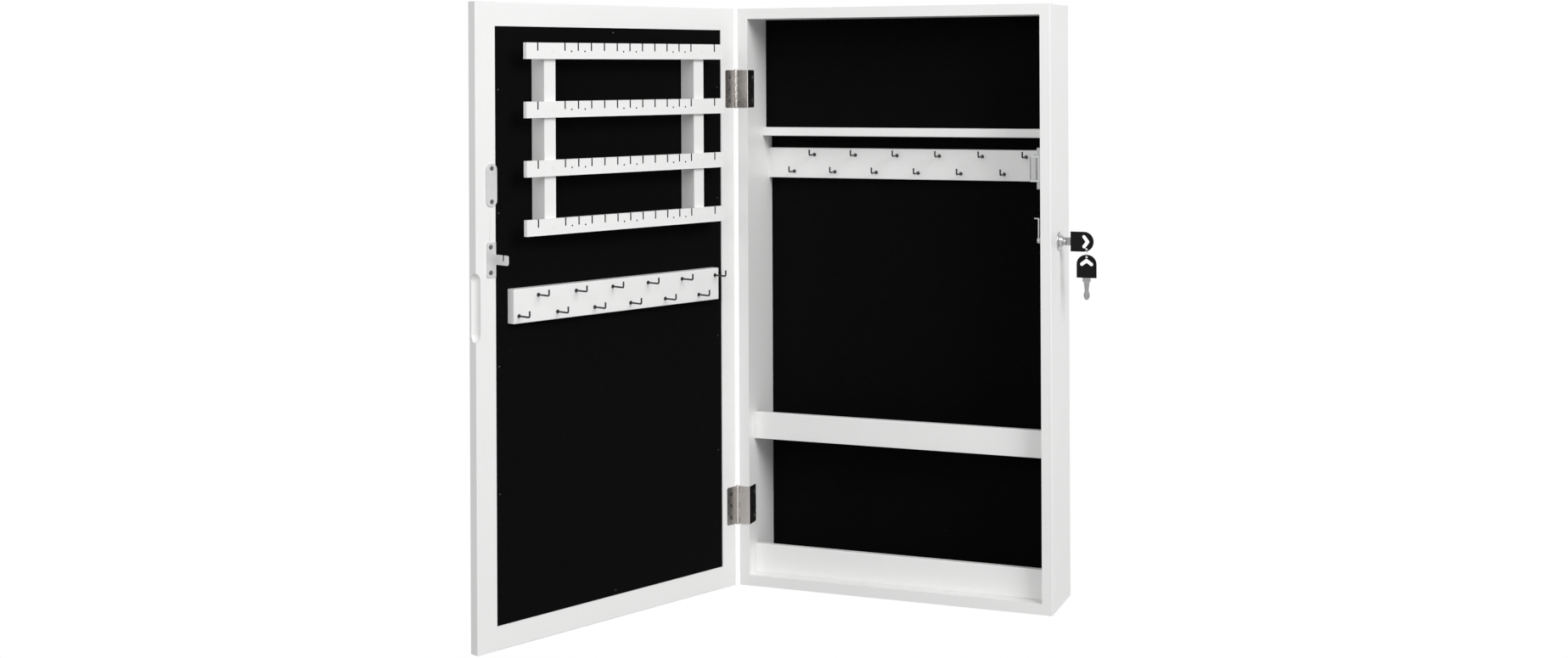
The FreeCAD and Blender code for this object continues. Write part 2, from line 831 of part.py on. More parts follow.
def key_one_hole():
    """Hole for the ring near the bow's lower edge, as offsets in the upright key."""
    along = ring_x - body_width - key_bow_start
    return key_bow_width / 2 - key_hole_inset, along


def ring_centre():
    hole_z = lock_height - (key_bow_width / 2 - key_hole_inset)
    return Vector(ring_x, lock_depth, hole_z - ring_radius)


def key_ring():
    """Ring of wire in the plane X = ring_x, drawn with short straight pieces."""
    centre = ring_centre()
    rim = corners(ring_wire_radius, up * ring_radius, back, ring_sides)
    steps = [Rotation(right, 360 * i / ring_turns) for i in range(ring_turns)]
    rims = [[centre + step.multVec(corner) for corner in rim] for step in steps]
    return closed([f for one, other in zip(rims, rims[1:] + rims[:1]) for f in between(one, other)])


def place_key_two(shape):
    """Key two hangs from the ring with its blade down."""
    hole = ring_centre() - up * ring_radius
    shape.translate(hole - up * (key_bow_length - key_hole_inset))
    return shape


# Door, drawn shut

def door_stile(free):
    """Upright frame member with a lip in front that holds the mirror."""
    edge = body_width if free else 0.0
    inner = felt_right if free else felt_left
    lip = body_width - door_border if free else door_border
    stile = block(min(edge, inner), max(edge, inner), door_front, door_back, 0, body_height)
    front = block(min(edge, lip), max(edge, lip), door_front, door_front + door_lip, 0, body_height)
    return stile.fuse(front).removeSplitter()


def finished_stile(free):
    edge = body_width if free else 0.0
    stile = round_edges(door_stile(free), edge_radius,
                        lambda e: runs_along(e, up) and abs(edge_middle(e).x - edge) < tiny)
    if not free:
        return cut_all(stile, [s for z in hinge_middles() for s in door_leaf_screws(z)])
    half = groove_straight / 2
    axis = Vector(body_width + groove_beyond_edge, door_back - groove_below_face, groove_middle)
    scoop = rod(groove_radius, 2 * half, axis - up * half, up)
    ends = [Part.makeSphere(groove_radius, axis + up * half * side) for side in (-1, 1)]
    return cut_all(stile.cut(scoop.fuse(ends)), keeper_screws())


def door_rail(bottom):
    edge = 0.0 if bottom else body_height
    inner = door_member if bottom else body_height - door_member
    lip = door_border if bottom else body_height - door_border
    rail = block(felt_left, felt_right, door_front, door_back, min(edge, inner), max(edge, inner))
    front = block(felt_left, felt_right, door_front, door_front + door_lip, min(edge, lip), max(edge, lip))
    rail = round_edges(rail.fuse(front).removeSplitter(), edge_radius,
                       lambda e: runs_along(e, right) and abs(edge_middle(e).z - edge) < tiny)
    return rail.cut(door_stile(True)).cut(door_stile(False))


def door_layer(y0, y1):
    """Sheet that fills the rebate between two depths of the door."""
    return block(felt_left, felt_right, y0, y1, door_member, body_height - door_member)


def mirror_glass():
    """Glass with a polished bevel round its front."""
    y0 = door_front + door_lip
    glass = door_layer(y0, y0 + mirror_thickness)
    x0, x1 = door_border, body_width - door_border
    z0, z1 = door_border, body_height - door_border
    bevel, drop = mirror_bevel, mirror_bevel_drop
    outer = [Vector(x0, y0 + drop, z0), Vector(x1, y0 + drop, z0),
             Vector(x1, y0 + drop, z1), Vector(x0, y0 + drop, z1)]
    inner = [Vector(x0 + bevel, y0, z0 + bevel), Vector(x1 - bevel, y0, z0 + bevel),
             Vector(x1 - bevel, y0, z1 - bevel), Vector(x0 + bevel, y0, z1 - bevel)]
    rims = [Part.makePolygon(rim + [rim[0]]) for rim in (outer, inner)]
    raised = Part.makeLoft(rims, True, True)
    return glass.cut(block(x0, x1, y0, y0 + drop, z0, z1)).fuse(raised).removeSplitter()


def backing_board():
    y0 = door_front + door_lip + mirror_thickness
    return door_layer(y0, y0 + backing_thickness)


def felt_pins():
    pins = []
    for x in (felt_left + felt_pin_inset, felt_right - felt_pin_inset):
        for z in felt_pin_heights:
            pins.append(small_rod(felt_pin_radius, felt_pin_length, Vector(x, felt_face, z), back * -1))
    middle = (felt_left + felt_right) / 2
    for z in (door_member + felt_pin_inset, body_height - door_member - felt_pin_inset):
        pins.append(small_rod(felt_pin_radius, felt_pin_length, Vector(middle, felt_face, z), back * -1))
    return pins


def door_felt_panel():
    panel = door_layer(felt_face - felt_board_thickness, felt_face)
    return cut_all(panel, felt_pins())


def bar_screws(index):
    """Screws that hold one bar to the two uprights."""
    front = door_back + upright_reach + bar_thickness
    z = bar_top - index * bar_pitch - bar_height / 2
    return [screw(Vector(rack_middle + side * upright_spread, front, z), back * -1, rack_screw_head_radius,
                  rack_screw_head_height, rack_screw_radius, rack_screw_length) for side in (-1, 1)]


def rack_screws():
    return [one for index in range(bar_count) for one in bar_screws(index)]


def earring_bar(index):
    """Flat bar with sawn slots for hooks and small holes for studs."""
    y0 = door_back + upright_reach
    y1 = y0 + bar_thickness
    top = bar_top - index * bar_pitch
    x0 = rack_middle - rack_length / 2
    bar = block(x0, x0 + rack_length, y0, y1, top - bar_height, top)
    for k in (-7, -5, -4, -3, -2, -1, 0, 1, 2, 3, 4, 5, 7):
        x = rack_middle + k * slot_pitch
        bar = bar.cut(block(x - slot_width / 2, x + slot_width / 2, y0, y1, top - slot_depth, top))
    for k in (-4.5, -3.5, -0.5, 0.5, 3.5, 4.5):
        stud = Vector(rack_middle + k * slot_pitch, y0, top - stud_drop)
        bar = bar.cut(small_rod(stud_radius, bar_thickness, stud, back, wire_sides))
    return cut_all(bar, bar_screws(index))


def rack_upright(side):
    x = rack_middle + side * upright_spread
    bottom = bar_top - (bar_count - 1) * bar_pitch - bar_height + upright_inset
    upright = block(x - upright_width / 2, x + upright_width / 2, felt_face, door_back + upright_reach,
                    bottom, bar_top - upright_inset)
    return cut_all(upright, rack_screws())


def strike_middle_x():
    return sum(pole_columns()) / 2


def plate_screws(x, y, middle_z, spacing):
    """Two screws through a plate on the door's inner face, flush with its front at y."""
    return [screw(Vector(x, y, middle_z + side * spacing / 2), back * -1, plate_screw_head_radius,
                  plate_screw_head_height, plate_screw_radius, plate_screw_length) for side in (-1, 1)]


def strike_screws():
    return plate_screws(strike_middle_x(), door_back + strike_thickness, strike_middle, strike_hole_spacing)


def strike_plate():
    """Steel plate with round ends that the magnet pulls."""
    x = strike_middle_x()
    half = strike_width / 2
    straight = strike_height / 2 - half
    plate = block(x - half, x + half, door_back, door_back + strike_thickness,
                  strike_middle - straight, strike_middle + straight)
    ends = [rod(half, strike_thickness, Vector(x, door_back, strike_middle + side * straight), back)
            for side in (-1, 1)]
    return cut_all(plate.fuse(ends).removeSplitter(), strike_screws())


def lock_keeper_screws():
    x = body_width - keeper_tongue_inset + keeper_hole_inset
    return plate_screws(x, door_back + keeper_thickness, keeper_middle, keeper_hole_spacing)


def keeper_screws():
    return strike_screws() + lock_keeper_screws()


def lock_keeper():
    """Plate with a tongue bent square to it, notched for the cam's tab."""
    x0 = body_width - keeper_tongue_inset
    plate = block(x0, x0 + keeper_width, door_back, door_back + keeper_thickness,
                  keeper_middle - keeper_height / 2, keeper_middle + keeper_height / 2)
    plate = round_edges(plate, leaf_corner_radius, lambda e: runs_along(e, back)
                        and abs(edge_middle(e).x - x0 - keeper_width) < tiny)
    half = keeper_tongue_height / 2
    tongue = block(x0, x0 + keeper_thickness, door_back, door_back + keeper_tongue_reach,
                   keeper_middle - half, keeper_middle + half)
    tongue = round_edges(tongue, leaf_corner_radius, lambda e: runs_along(e, right)
                         and abs(edge_middle(e).y - door_back - keeper_tongue_reach) < tiny)
    notch_y = door_back + keeper_notch_middle
    gap = keeper_notch_width / 2
    notch = block(x0, x0 + keeper_thickness, notch_y - gap, notch_y + gap,
                  keeper_middle + half - keeper_notch_depth, keeper_middle + half)
    return cut_all(plate.fuse(tongue).removeSplitter(), [notch] + lock_keeper_screws())


# Write the nodes

def write(name, shape, on_door=False):
    """Move a node into the row's frame, with the door's pieces turned open, and save it."""
    solids = shape if isinstance(shape, list) else [shape]
    node = group([s.copy() for s in solids]) if len(solids) > 1 else solids[0].copy()
    if on_door:
        node.rotate(hinge_axis, up, -door_open_angle)
    node.translate(origin * -1)
    node.exportStep(os.path.join("parts", name + ".step"))


def write_body():
    write("side_panel_left", left_panel())
    write("side_panel_right", right_panel())
    write("top_panel", level_panel(body_height - panel_thickness))
    write("bottom_panel", level_panel(0))
    write("panel_dowels", dowels())
    write("back_board", back_board())
    write("main_felt", main_felt())
    write("upper_back_panel", upper_back_panel())
    write("ledge", ledge())
    write("middle_tray_lip", tray_lip(middle_tray_bottom, middle_tray_lip_height))
    write("middle_tray_base", middle_tray_base())
    write("bottom_tray_lip", tray_lip(panel_thickness, bottom_tray_lip_height))
    write("tray_felts", tray_felts())
    write("hanging_rail", hanging_rail())
    write("keyhole_hangers", [hanger_plate(x) for x in hanger_columns()])
    write("hanger_screws", [s for x in hanger_columns() for s in hanger_screws(x)])
    write("body_hook_rail", body_hook_rail())
    write("body_hooks", body_hooks())
    write("catch_housing", catch_housing())
    write("catch_magnet", catch_magnet())
    write("catch_pole_plates", [pole_plate(x) for x in pole_columns()])
    write("catch_screws", catch_screws())
    for name, z in zip(("lower", "upper"), hinge_middles()):
        write(name + "_hinge_body_leaf", body_leaf(z))
    write("hinge_pins", [hinge_pin(z) for z in hinge_middles()])
    write("hinge_body_screws", body_hinge_pilots())
    write("lock_barrel", lock_barrel())
    write("lock_nut", lock_nut())


def write_lock_and_keys():
    write("lock_plug", lock_plug())
    write("lock_cam", lock_cam())
    write("cam_screw", cam_screw())
    write("key_one_bow", place_key_one(key_bow(*key_one_hole())))
    write("key_one_blade", place_key_one(key_blade()))
    write("key_ring", key_ring())
    write("key_two_bow", place_key_two(key_bow(0, key_bow_length - key_hole_inset)))
    write("key_two_blade", place_key_two(key_blade()))


def write_door():
    write("door_stile_free", finished_stile(True), True)
    write("door_stile_hinge", finished_stile(False), True)
    write("door_rail_top", door_rail(False), True)
    write("door_rail_bottom", door_rail(True), True)
    write("mirror_glass", mirror_glass(), True)
    write("mirror_backing", backing_board(), True)
    write("door_felt_panel", door_felt_panel(), True)
    write("felt_pins", felt_pins(), True)
    for i in range(bar_count):
        write("earring_bar_%d" % (i + 1), earring_bar(i), True)
    write("rack_upright_hinge_side", rack_upright(-1), True)
    write("rack_upright_free_side", rack_upright(1), True)
    write("rack_screws", rack_screws(), True)
    write("door_hook_rail", door_hook_rail(), True)
    write("door_hooks", door_hooks(), True)
    write("strike_plate", strike_plate(), True)
    write("lock_keeper", lock_keeper(), True)
    write("keeper_screws", keeper_screws(), True)
    for name, z in zip(("lower", "upper"), hinge_middles()):
        write(name + "_hinge_door_leaf", door_leaf(z), True)
    write("hinge_door_screws", [s for z in hinge_middles() for s in door_leaf_screws(z)], True)


os.makedirs("parts", exist_ok=True)
write_body()
write_lock_and_keys()
write_door()
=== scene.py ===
import json
from math import atan2, cos, pi, radians, sin, sqrt

import bmesh
import bpy
from mathutils import Matrix, Vector

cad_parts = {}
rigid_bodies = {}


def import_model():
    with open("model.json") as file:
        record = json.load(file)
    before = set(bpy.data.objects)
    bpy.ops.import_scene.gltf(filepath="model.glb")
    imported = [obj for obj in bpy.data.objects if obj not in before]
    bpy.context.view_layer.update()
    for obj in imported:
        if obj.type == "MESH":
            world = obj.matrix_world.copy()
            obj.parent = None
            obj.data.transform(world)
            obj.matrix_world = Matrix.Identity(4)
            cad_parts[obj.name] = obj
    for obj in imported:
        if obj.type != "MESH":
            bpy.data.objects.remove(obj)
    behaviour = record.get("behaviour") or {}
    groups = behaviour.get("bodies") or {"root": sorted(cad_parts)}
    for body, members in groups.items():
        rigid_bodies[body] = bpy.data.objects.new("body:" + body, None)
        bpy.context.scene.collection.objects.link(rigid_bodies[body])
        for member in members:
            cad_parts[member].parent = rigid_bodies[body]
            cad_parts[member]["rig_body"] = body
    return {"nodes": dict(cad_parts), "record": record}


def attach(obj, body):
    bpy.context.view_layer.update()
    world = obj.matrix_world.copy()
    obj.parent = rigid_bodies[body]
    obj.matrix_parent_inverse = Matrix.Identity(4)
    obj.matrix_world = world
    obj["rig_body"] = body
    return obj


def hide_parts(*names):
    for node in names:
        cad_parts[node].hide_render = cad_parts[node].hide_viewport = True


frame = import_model()
nodes = frame["nodes"]
scene = bpy.context.scene
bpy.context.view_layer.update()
print("frame loaded:", len(nodes), "nodes")

# The cabinet's own millimetres, as in the part's source: X right, Y from the front to the wall, Z up.
# toRow takes them to the row's metres; doorToRow also swings what is drawn on the shut door.
cabinet = {"width": 370.0, "depth": 88.0, "hangerHeight": 612.0, "innerRight": 358.0}
door = {"pinX": -2.45, "pinY": -0.85, "open": radians(-112.8), "inner": -1.7, "felt": -2.9}
toRow = Matrix.Scale(0.001, 4) @ Matrix.Translation(
    (-cabinet["width"] / 2, -cabinet["depth"], -cabinet["hangerHeight"]))
pinPlace = Matrix.Translation((door["pinX"], door["pinY"], 0))
doorToRow = toRow @ pinPlace @ Matrix.Rotation(door["open"], 4, "Z") @ pinPlace.inverted()


class Socket:
    # one output in a shader graph, so that shader maths reads as plain sums
    def __init__(self, graph, link):
        self.graph = graph
        self.link = link

    def math(self, operation, first, second):
        return self.graph.add("ShaderNodeMath", {"operation": operation}, {0: first, 1: second})

    def __add__(self, other): return self.math("ADD", self, other)
    def __radd__(self, other): return self.math("ADD", other, self)
    def __sub__(self, other): return self.math("SUBTRACT", self, other)
    def __rsub__(self, other): return self.math("SUBTRACT", other, self)
    def __mul__(self, other): return self.math("MULTIPLY", self, other)
    def __rmul__(self, other): return self.math("MULTIPLY", other, self)
    def __gt__(self, other): return self.math("GREATER_THAN", self, other)
    def __lt__(self, other): return self.math("LESS_THAN", self, other)

    def clamp(self): return self.graph.add("ShaderNodeClamp", {}, {"Value": self})


class Graph:
    # the node tree of one material, or of the world
    def __init__(self, tree):
        self.tree = tree
        tree.nodes.clear()

    def add(self, kind, settings=None, sockets=None, out=0):
        node = self.tree.nodes.new(kind)
        for name, value in (settings or {}).items():
            setattr(node, name, value)
        for place, value in (sockets or {}).items():
            socket = node.inputs[place]
            if isinstance(value, Socket):
                self.tree.links.new(value.link, socket)
            elif socket.type == "RGBA":
                socket.default_value = (*value[:3], 1.0)
            else:
                socket.default_value = value
        return Socket(self, node.outputs[out]) if len(node.outputs) else None

    def mix(self, factor, first, second):
        return self.add("ShaderNodeMix", {"data_type": "RGBA"}, {0: factor, 6: first, 7: second}, out=2)

    def where(self, stretch=(1, 1, 1), turn=(0, 0, 0), place=(0, 0, 0)):
        here = self.add("ShaderNodeTexCoord", out="Object")
        return self.add("ShaderNodeMapping", {}, {0: here, 1: place, 2: turn, 3: stretch})

    def noise(self, scale, detail=2.0, rough=0.5, spot=None):
        return self.add("ShaderNodeTexNoise", {}, {"Vector": spot or self.where(), "Scale": scale,
                                                   "Detail": detail, "Roughness": rough})

    def band(self, value, low, high):
        return self.add("ShaderNodeMapRange", {"interpolation_type": "SMOOTHSTEP"},
                        {0: value, 1: low, 2: high, 3: 0.0, 4: 1.0})

    def bump(self, height, strength, distance):
        return self.add("ShaderNodeBump", {}, {"Height": height, "Strength": strength, "Distance": distance})

    def surface(self, sockets):
        shader = self.add("ShaderNodeBsdfPrincipled", {}, sockets)
        self.add("ShaderNodeOutputMaterial", {}, {"Surface": shader})


def newMaterial(name):
    made = bpy.data.materials.new(name)
    made.use_nodes = True
    return made, Graph(made.node_tree)


# camera, light and room
shot = {"place": (0.660921, -2.115446, -0.017188), "yaw": radians(21.248113), "roll": radians(-0.256073),
        "focal": 2222.2955, "frameWidth": 1847.0, "rise": -301.1985}

camera = bpy.data.objects.new("camera", bpy.data.cameras.new("camera"))
scene.collection.objects.link(camera)
camera.matrix_world = (Matrix.Translation(shot["place"]) @ Matrix.Rotation(shot["yaw"], 4, "Z")
                       @ Matrix.Rotation(pi / 2, 4, "X") @ Matrix.Rotation(shot["roll"], 4, "Z"))
camera.data.sensor_width = 36.0
camera.data.lens = shot["focal"] / shot["frameWidth"] * 36.0
camera.data.shift_y = shot["rise"] / shot["frameWidth"]
camera.data.clip_start = 0.05
camera.data.clip_end = 60.0
scene.camera = camera
scene.view_settings.view_transform = "Standard"

room = {"floorBelow": 0.98, "floorHalf": 14.0, "skyOnObject": 0.42, "floorBounce": 0.42,
        "shadowIn": 0.62, "shadowOut": 0.84, "shadowShare": 0.55, "floorWhite": 0.97}


def seenPlainly(g):
    # rays that show the white room itself; all others get the light that falls on the object
    kinds = [g.add("ShaderNodeLightPath", out=kind)
             for kind in ("Is Camera Ray", "Is Glossy Ray", "Is Transmission Ray")]
    return (kinds[0] + kinds[1] + kinds[2]).clamp()


scene.world = bpy.data.worlds.new("studio")
scene.world.use_nodes = True
g = Graph(scene.world.node_tree)
skyGlow = g.add("ShaderNodeBackground", {}, {"Color": (1, 1, 1), "Strength": room["skyOnObject"]})
skyWhite = g.add("ShaderNodeBackground", {}, {"Color": (1, 1, 1), "Strength": 1.0})
sky = g.add("ShaderNodeMixShader", {}, {0: seenPlainly(g), 1: skyGlow, 2: skyWhite})
g.add("ShaderNodeOutputWorld", {}, {"Surface": sky})

floorForm = bmesh.new()
bmesh.ops.create_grid(floorForm, x_segments=1, y_segments=1, size=room["floorHalf"],
                      matrix=Matrix.Translation((0, 0, -room["floorBelow"])))
floorMesh = bpy.data.meshes.new("floor")
floorForm.to_mesh(floorMesh)
floorForm.free()
floor = bpy.data.objects.new("floor", floorMesh)
scene.collection.objects.link(floor)
floorPaint, g = newMaterial("floorPaint")
flat = g.add("ShaderNodeVectorMath", {"operation": "MULTIPLY"}, {0: g.where(), 1: (1, 1, 0)})
away = g.add("ShaderNodeVectorMath", {"operation": "LENGTH"}, {0: flat}, out="Value")
shadowed = (1 - g.band(away, room["shadowIn"], room["shadowOut"])) * room["shadowShare"]
lit = g.add("ShaderNodeBsdfDiffuse", {}, {"Color": (room["floorWhite"],) * 3})
dim = g.add("ShaderNodeBsdfDiffuse", {}, {"Color": (room["floorBounce"],) * 3})
glow = g.add("ShaderNodeEmission", {}, {"Color": (1, 1, 1), "Strength": 1.0})
shown = g.add("ShaderNodeMixShader", {}, {0: shadowed, 1: glow, 2: lit})
ground = g.add("ShaderNodeMixShader", {}, {0: seenPlainly(g), 1: dim, 2: shown})
g.add("ShaderNodeOutputMaterial", {}, {"Surface": ground})
floor.data.materials.append(floorPaint)

lamps = {
    "keyLamp": {"place": (2.75, -1.45, 1.55), "aim": (-0.05, -0.15, -0.25), "size": 2.0, "power": 84.0},
    "fillLamp": {"place": (-0.2, -3.1, 0.8), "aim": (0, -0.1, -0.3), "size": 2.2, "power": 31.0},
}
for name, lamp in lamps.items():
    data = bpy.data.lights.new(name, "AREA")
    data.shape = "DISK"
    data.size = lamp["size"]
    data.energy = lamp["power"]
    light = bpy.data.objects.new(name, data)
    scene.collection.objects.link(light)
    light.location = lamp["place"]
    light.rotation_euler = (Vector(lamp["aim"]) - Vector(lamp["place"])).to_track_quat("-Z", "Y").to_euler()
    light.visible_camera = False
print("camera, light and room set")


# finishes
def paintCoat(name, look):
    # satin paint: a soft cloud of tone, a fine peel and long faint brush marks
    made, g = newMaterial(name)
    cloud = g.noise(look["cloudScale"], 3.0)
    peel = g.noise(look["peelScale"], 2.0)
    brush = g.noise(look["brushScale"], 2.0, spot=g.where(look["brushStretch"]))
    g.surface({"Base Color": g.mix((cloud * 0.7 + brush * 0.3).clamp(), look["dark"], look["light"]),
               "Roughness": look["rough"] + peel * 0.14,
               "Normal": g.bump(peel * 0.7 + brush * 0.3, look["bump"], look["depth"]),
               "Specular IOR Level": look["gloss"]})
    return made


def feltCloth(name, look):
    # pressed felt: matted fibres two ways, small clumps and a few pale specks of lint
    made, g = newMaterial(name)
    fibre = g.noise(look["fibreScale"], 4.0, 0.7, g.where((1, 1, 0.35), (0.4, 0.9, 0.3)))
    weft = g.noise(look["fibreScale"] * 0.8, 4.0, 0.7, g.where((0.3, 1, 1), (1.2, 0.2, 0.8)))
    clump = g.noise(look["clumpScale"], 3.0)
    dust = g.add("ShaderNodeTexVoronoi", {}, {"Vector": g.where(), "Scale": look["lintScale"]})
    lint = (dust < look["lintSize"]) * (g.noise(look["clumpScale"] * 0.2) > 0.55)
    pile = (fibre + weft) * 0.5
    black = g.mix((pile * 0.75 + clump * 0.25).clamp(), look["dark"], look["light"])
    g.surface({"Base Color": g.mix(lint * look["lintShare"], black, look["lint"]),
               "Roughness": 0.86 + pile * 0.14,
               "Normal": g.bump(pile + clump * 0.4, look["bump"], look["depth"]),
               "Specular IOR Level": look["gloss"], "Sheen Weight": look["sheen"],
               "Sheen Roughness": 0.6})
    return made


def platedMetal(name, look):
    # plated or ground metal: fine marks along one way, dull patches and a little waviness
    made, g = newMaterial(name)
    marks = g.noise(look["markScale"], 3.0, 0.6, g.where(look["markStretch"]))
    patch = g.noise(look["patchScale"], 3.0)
    wave = g.noise(look["waveScale"], 2.0)
    g.surface({"Base Color": g.mix((marks * 0.5 + patch * 0.5).clamp(), look["dark"], look["light"]),
               "Metallic": 1.0,
               "Roughness": (look["rough"] + marks * look["markRough"] + patch * 0.05).clamp(),
               "Normal": g.bump(marks * 0.4 + wave * 0.6, look["bump"], look["depth"])})
    return made


def mouldedPlastic(name, look):
    made, g = newMaterial(name)
    grain = g.noise(look["grainScale"], 2.0)
    cloud = g.noise(look["cloudScale"], 3.0)
    g.surface({"Base Color": g.mix(cloud, look["dark"], look["light"]),
               "Roughness": look["rough"] + grain * 0.12,
               "Normal": g.bump(grain, look["bump"], look["depth"]),
               "Specular IOR Level": look["gloss"]})
    return made


def planedPine(name, look):
    # growth rings that run along the strip, with finer fibres over them
    made, g = newMaterial(name)
    rings = g.add("ShaderNodeTexWave", {"wave_type": "RINGS", "rings_direction": "X"},
                  {"Vector": g.where((0.05, 1, 1), (0, 0.02, 0.03), (0, 0.03, 0.02)),
                   "Scale": look["ringScale"], "Distortion": 2.5, "Detail": 2.0, "Detail Scale": 0.8},
                  out="Fac")
    fibre = g.noise(900.0, 3.0, 0.7, g.where((0.04, 1, 1)))
    wood = g.mix(rings, look["light"], look["dark"])
    g.surface({"Base Color": g.mix(fibre * 0.4, wood, look["fibre"]),
               "Roughness": 0.55 + fibre * 0.2,
               "Normal": g.bump(rings * 0.4 + fibre * 0.6, 0.4, 0.0003)})
    return made


def pressedBoard(name, look):
    # hardboard: matted brown fibres, with the screen marks that its rough side has
    made, g = newMaterial(name)
    flakes = g.noise(160.0, 5.0, 0.7)
    screen = g.add("ShaderNodeTexBrick", {"offset": 0.0},
                   {"Vector": g.where((1, 1, 1), (pi / 2, 0, 0)), "Scale": 300.0, "Mortar Size": 0.12,
                    "Mortar Smooth": 1.0, "Brick Width": 0.5, "Row Height": 0.5}, out="Fac")
    g.surface({"Base Color": g.mix(flakes, look["dark"], look["light"]),
               "Roughness": 0.62 + flakes * 0.2,
               "Normal": g.bump(flakes * 0.5 + screen * 0.5, 0.5, 0.0003)})
    return made


def silveredGlass(name, look):
    # a clean mirror, a trace duller in soft streaks where a cloth has wiped it
    made, g = newMaterial(name)
    wiped = g.noise(7.0, 3.0, spot=g.where((1, 1, 0.4)))
    g.surface({"Base Color": g.mix(wiped, look["dark"], look["light"]), "Metallic": 1.0,
               "Roughness": look["rough"] * wiped, "Normal": g.bump(wiped, 0.02, 0.0002)})
    return made


looks = {
    "paint": {"dark": (0.795, 0.795, 0.79), "light": (0.85, 0.85, 0.845), "rough": 0.34, "gloss": 0.5,
              "cloudScale": 8.0, "peelScale": 620.0, "brushScale": 260.0, "brushStretch": (1, 1, 0.08),
              "bump": 0.22, "depth": 0.00025},
    "screwPaint": {"dark": (0.76, 0.76, 0.755), "light": (0.83, 0.83, 0.825), "rough": 0.4, "gloss": 0.5,
                   "cloudScale": 60.0, "peelScale": 900.0, "brushScale": 500.0, "brushStretch": (1, 1, 1),
                   "bump": 0.3, "depth": 0.0003},
    "felt": {"dark": (0.0004, 0.0004, 0.0005), "light": (0.0042, 0.0042, 0.0045), "lint": (0.10, 0.10, 0.10),
             "fibreScale": 1500.0, "clumpScale": 120.0, "lintScale": 30.0, "lintSize": 0.016,
             "lintShare": 0.5, "bump": 0.7, "depth": 0.0005, "gloss": 0.03, "sheen": 0.012},
    "nickel": {"dark": (0.46, 0.435, 0.415), "light": (0.60, 0.575, 0.55), "rough": 0.20, "markRough": 0.1,
               "markScale": 900.0, "markStretch": (1, 1, 0.15), "patchScale": 30.0, "waveScale": 90.0,
               "bump": 0.05, "depth": 0.0003},
    # nickel darkened to near black: a painted reflection of the black felt around the hooks; the brads share it
    "nickelPaintedShade": {"dark": (0.03, 0.03, 0.03), "light": (0.09, 0.09, 0.09), "rough": 0.28, "markRough": 0.1,
                   "markScale": 1400.0, "markStretch": (1, 1, 1), "patchScale": 300.0, "waveScale": 400.0,
                   "bump": 0.1, "depth": 0.0002},
    "zinc": {"dark": (0.56, 0.56, 0.565), "light": (0.72, 0.72, 0.725), "rough": 0.26, "markRough": 0.2,
             "markScale": 1200.0, "markStretch": (1, 1, 0.06), "patchScale": 110.0, "waveScale": 160.0,
             "bump": 0.12, "depth": 0.0003},
    "screwSteel": {"dark": (0.10, 0.10, 0.10), "light": (0.24, 0.24, 0.24), "rough": 0.24, "markRough": 0.15,
                   "markScale": 1500.0, "markStretch": (1, 1, 1), "patchScale": 400.0, "waveScale": 500.0,
                   "bump": 0.1, "depth": 0.0002},
    "keySteel": {"dark": (0.13, 0.13, 0.13), "light": (0.36, 0.36, 0.36), "rough": 0.24, "markRough": 0.15,
                 "markScale": 1300.0, "markStretch": (1, 1, 0.1), "patchScale": 300.0, "waveScale": 300.0,
                 "bump": 0.1, "depth": 0.0002},
    "chrome": {"dark": (0.34, 0.34, 0.34), "light": (0.52, 0.52, 0.52), "rough": 0.07, "markRough": 0.08,
               "markScale": 700.0, "markStretch": (0.3, 1, 1), "patchScale": 120.0, "waveScale": 150.0,
               "bump": 0.05, "depth": 0.0002},
    "housing": {"dark": (0.50, 0.51, 0.515), "light": (0.60, 0.61, 0.615), "rough": 0.3, "gloss": 0.5,
                "grainScale": 900.0, "cloudScale": 70.0, "bump": 0.1, "depth": 0.0002},
    "ferrite": {"dark": (0.42, 0.42, 0.42), "light": (0.54, 0.54, 0.54), "rough": 0.5, "gloss": 0.3,
                "grainScale": 1500.0, "cloudScale": 500.0, "bump": 0.4, "depth": 0.0003},
    "keyBlack": {"dark": (0.001, 0.001, 0.0012), "light": (0.016, 0.016, 0.017), "rough": 0.6, "gloss": 0.06,
                 "grainScale": 1400.0, "cloudScale": 1100.0, "bump": 0.5, "depth": 0.0003},
    "pine": {"light": (0.70, 0.52, 0.31), "dark": (0.52, 0.33, 0.17), "fibre": (0.78, 0.63, 0.42),
             "ringScale": 60.0},
    "board": {"dark": (0.20, 0.12, 0.065), "light": (0.36, 0.24, 0.14)},
    # near-black board for the bars' slot and stud-hole walls: painted shade, darker than bare board would be
    "slotWallPaintedShade": {"dark": (0.012, 0.011, 0.010), "light": (0.05, 0.045, 0.04)},
    "mirror": {"dark": (0.86, 0.875, 0.87), "light": (0.93, 0.94, 0.935), "rough": 0.03},
}
finish = {
    "white_paint": paintCoat("satinWhite", looks["paint"]),
    "painted_metal": paintCoat("screwWhite", looks["screwPaint"]),
    "black_felt": feltCloth("blackFelt", looks["felt"]),
    "nickel": platedMetal("hingeNickel", looks["nickel"]),
    "zinc_steel": platedMetal("zincSteel", looks["zinc"]),
    "lock_chrome": platedMetal("lockChrome", looks["chrome"]),
    "catch_plastic": mouldedPlastic("catchPlastic", looks["housing"]),
    "ferrite": mouldedPlastic("ferriteBlock", looks["ferrite"]),
    "key_plastic": mouldedPlastic("keyBlack", looks["keyBlack"]),
    "pine": planedPine("rawPine", looks["pine"]),
    "hardboard": pressedBoard("brownBoard", looks["board"]),
    "mirror": silveredGlass("mirrorSilver", looks["mirror"]),
}
